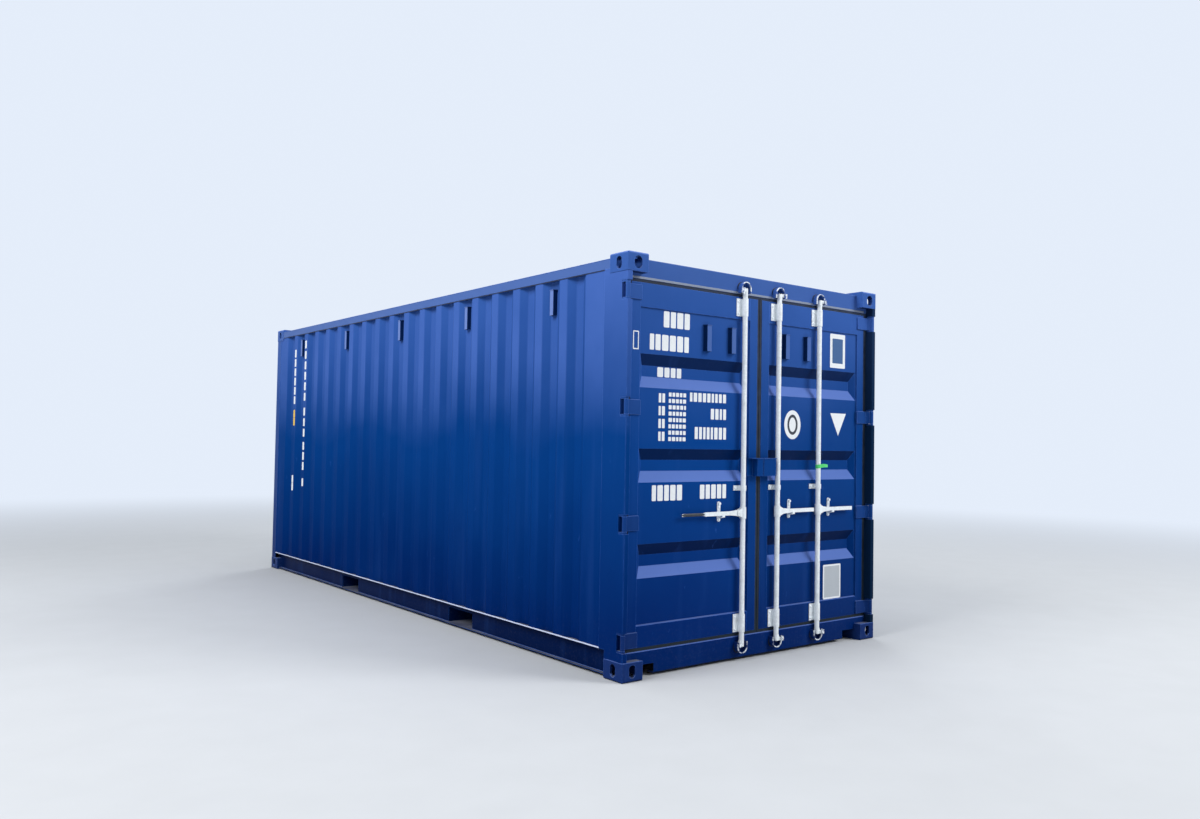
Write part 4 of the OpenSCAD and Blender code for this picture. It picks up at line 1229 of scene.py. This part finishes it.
class OBJECT_OT_container_gasket_strips(ContainerOperator, bpy.types.Operator):
    """Hold the gaskets with riveted strips inside the doors"""

    bl_idname = "object.container_gasket_strips"
    bl_label = "Gasket strips"

    def execute(self, context):
        radius = context.scene.container_fixings.rivet
        tree = heads_tree("rivets", radius, height=1.8 * MM, sides=12, dome=1.4 * MM)
        for door in DOORS:
            strips, places = gasket_strips(door)
            mesh_object(f"{door}_gasket_strips", strips, "strip_zinc", door)
            fastened(f"{door}_rivets", tree, places, door)
        return {"FINISHED"}


class OBJECT_OT_container_markings(ContainerOperator, bpy.types.Operator):
    """Put plain white blocks where the markings are"""

    bl_idname = "object.container_markings"
    bl_label = "Markings"

    def execute(self, context):
        marks = context.scene.container_marks
        mesh_object("door_markings", door_markings(marks), "white_marking", "left_door")
        white, yellow = side_markings(marks)
        mesh_object("side_markings", white, "white_marking", "frame")
        mesh_object("side_tag", yellow, "yellow_marking", "frame")
        return {"FINISHED"}


class OBJECT_OT_container_stickers(ContainerOperator, bpy.types.Operator):
    """Put blank stickers on the right door"""

    bl_idname = "object.container_stickers"
    bl_label = "Stickers"

    def execute(self, context):
        white, blue, dark = plain_stickers(context.scene.container_marks)
        mesh_object("white_stickers", white, "white_sticker", "right_door")
        mesh_object("blue_sticker", blue, "blue_sticker", "right_door")
        mesh_object("ring_sticker", dark, "dark_sticker", "right_door")
        return {"FINISHED"}


class OBJECT_OT_container_plate(ContainerOperator, bpy.types.Operator):
    """Rivet a blank plate to the right door"""

    bl_idname = "object.container_plate"
    bl_label = "Plate"

    def execute(self, context):
        plate, rim, places = blank_plate()
        mesh_object("door_plate", plate, "brushed_plate", "right_door")
        mesh_object("door_plate_rim", rim, "white_sticker", "right_door")
        radius = context.scene.container_fixings.rivet * 0.8
        tree = heads_tree("plate rivets", radius, height=1.2 * MM, sides=12, dome=1.0 * MM)
        fastened("door_plate_rivets", tree, places, "right_door")
        return {"FINISHED"}


class OBJECT_OT_container_rod_fittings(ContainerOperator, bpy.types.Operator):
    """Add the tag on the outer rod and the sleeve on the left handle"""

    bl_idname = "object.container_rod_fittings"
    bl_label = "Rod fittings"

    def execute(self, context):
        mesh_object("rod_tag", rod_tag(), "tag_plastic", "right_outer_rod")
        mesh_object("handle_sleeve", handle_sleeve(), "dark_grip", "left_handle")
        return {"FINISHED"}


class OBJECT_OT_container_stage(ContainerOperator, bpy.types.Operator):
    """Make the floor, the light and the camera"""

    bl_idname = "object.container_stage"
    bl_label = "Stage"

    def execute(self, context):
        settings = context.scene.container_stage
        stage_floor(settings)
        stage_light(settings)
        stage_camera(settings)
        return {"FINISHED"}


# Stage

# The floor's half width, and how far from the object's middle it runs into the background
FLOOR_REACH = 90.0
HAZE = (4.5, 17.0)
WARM_LIGHT, COOL_LIGHT, FILL_LIGHT = (1.0, 0.99, 0.97), (0.95, 0.98, 1.0), (0.92, 0.96, 1.0)
# Round lamps: name, place, target, width, watts and colour
LAMPS = (
    ("side", (-11.0, -2.0, 10.0), (-1.2, 0, 1.4), 8.0, 1500, WARM_LIGHT),
    ("front", (7.0, -12.0, 9.5), (0.2, -3.0, 1.4), 7.0, 1400, WARM_LIGHT),
    ("top", (0.0, 0.0, 12.0), (0, 0, 0), 10.0, 450, COOL_LIGHT),
    ("back", (9.0, 9.0, 8.0), (0, 0, 1.2), 6.0, 500, COOL_LIGHT),
)
CAMERA_PLACE = (-4.840, -7.427, 1.436)
# The camera's yaw, pitch and roll in degrees
CAMERA_TURN = (37.90, 1.92, 0.98)


def seen_share(tree):
    """1 for rays that show the background: the camera's, and those seen in gloss or through glass."""
    path = add(tree, "ShaderNodeLightPath").outputs
    return most(most(path["Is Camera Ray"], path["Is Glossy Ray"]), path["Is Transmission Ray"])


def stage_floor(settings):
    """A pale floor that runs into the background far away."""
    bm = bmesh.new()
    bmesh.ops.create_grid(bm, x_segments=2, y_segments=2, size=FLOOR_REACH)
    mesh = bpy.data.meshes.new("studio_floor")
    bm.to_mesh(mesh)
    bm.free()
    floor = add_object("studio_floor", mesh)
    surface, tree = new_material("studio_floor", 0.1)
    shader = tree.nodes["Principled BSDF"]
    colour = mix(patches(tree, 3.0, 6.0), rgba(settings.floor, 0.97), rgba(settings.floor))
    tree.links.new(colour, shader.inputs["Base Color"])
    shader.inputs["Roughness"].default_value = 0.9
    away = add(tree, "ShaderNodeVectorMath", {0: object_place(tree)}, operation="LENGTH")
    far = fit(away.outputs["Value"], *HAZE, smooth=True)
    haze = add(tree, "ShaderNodeEmission", {"Color": rgba(settings.sky), "Strength": 1.0})
    both = add(
        tree, "ShaderNodeMixShader",
        {0: times(far, seen_share(tree)), 1: shader.outputs[0], 2: haze.outputs[0]},
    )
    tree.links.new(both.outputs[0], tree.nodes["Material Output"].inputs["Surface"])
    mesh.materials.append(surface)


def stage_light(settings):
    """Even light from all round, with the background's colour where it shows, and four lamps."""
    world = bpy.data.worlds.new("studio")
    bpy.context.scene.world = world
    world.use_nodes = True
    tree = world.node_tree
    tree.nodes.clear()
    light = add(tree, "ShaderNodeBackground", {"Color": rgba(FILL_LIGHT), "Strength": settings.fill})
    picture = add(tree, "ShaderNodeBackground", {"Color": rgba(settings.sky), "Strength": 1.0})
    shaders = {0: seen_share(tree), 1: light.outputs[0], 2: picture.outputs[0]}
    both = add(tree, "ShaderNodeMixShader", shaders)
    add(tree, "ShaderNodeOutputWorld", {"Surface": both.outputs[0]})
    for name, place, target, size, watts, colour in LAMPS:
        lamp = bpy.data.lights.new(name, "AREA")
        lamp.shape, lamp.size, lamp.energy, lamp.color = "DISK", size, watts, colour
        obj = add_object(name, lamp)
        obj.location = place
        obj.rotation_euler = (Vector(target) - Vector(place)).to_track_quat("-Z", "Y").to_euler()
    bpy.context.scene.view_settings.view_transform = "Standard"


def stage_camera(settings):
    """The camera, placed and turned as it was fitted to the container's corners in the photo."""
    yaw, pitch, roll = (math.radians(a) for a in CAMERA_TURN)
    ahead = Vector((math.sin(yaw) * math.cos(pitch), math.cos(yaw) * math.cos(pitch), math.sin(pitch)))
    right = Vector((math.cos(yaw), -math.sin(yaw), 0))
    up = right.cross(ahead)
    right_rolled = right * math.cos(roll) + up * math.sin(roll)
    up_rolled = up * math.cos(roll) - right * math.sin(roll)
    data = bpy.data.cameras.new("camera")
    data.sensor_fit, data.sensor_width, data.lens = "HORIZONTAL", 36.0, settings.lens
    data.clip_start, data.clip_end = 0.1, 300.0
    camera = add_object("camera", data)
    turn = Matrix((right_rolled, up_rolled, -ahead)).transposed()
    camera.matrix_world = Matrix.Translation(Vector(CAMERA_PLACE)) @ turn.to_4x4()
    bpy.context.scene.camera = camera


# Panel


class VIEW3D_PT_container(bpy.types.Panel):
    """The container's settings and operators"""

    bl_idname = "VIEW3D_PT_container"
    bl_label = "Container"
    bl_space_type = "VIEW_3D"
    bl_region_type = "UI"
    bl_category = "Container"

    def draw(self, context):
        for group in SETTINGS:
            settings = getattr(context.scene, group)
            box = self.layout.box()
            for name in settings.__annotations__:
                box.prop(settings, name)
        for operator in OPERATORS:
            self.layout.operator(operator.bl_idname)


SETTINGS = {
    "container_paint": ContainerPaint,
    "container_marks": ContainerMarks,
    "container_fixings": ContainerFixings,
    "container_stage": ContainerStage,
}
OPERATORS = (
    OBJECT_OT_container_finish,
    OBJECT_OT_container_welds,
    OBJECT_OT_container_edges,
    OBJECT_OT_container_bolts,
    OBJECT_OT_container_floor_screws,
    OBJECT_OT_container_gasket_strips,
    OBJECT_OT_container_markings,
    OBJECT_OT_container_stickers,
    OBJECT_OT_container_plate,
    OBJECT_OT_container_rod_fittings,
    OBJECT_OT_container_stage,
)
CLASSES = (*SETTINGS.values(), *OPERATORS, VIEW3D_PT_container)


def register():
    for item in CLASSES:
        bpy.utils.register_class(item)
    for name, group in SETTINGS.items():
        setattr(bpy.types.Scene, name, PointerProperty(type=group))


def unregister():
    for name in SETTINGS:
        delattr(bpy.types.Scene, name)
    for item in reversed(CLASSES):
        bpy.utils.unregister_class(item)


def main():
    register()
    for operator in OPERATORS:
        group, name = operator.bl_idname.split(".")
        getattr(getattr(bpy.ops, group), name)()


if __name__ == "__main__":
    main()
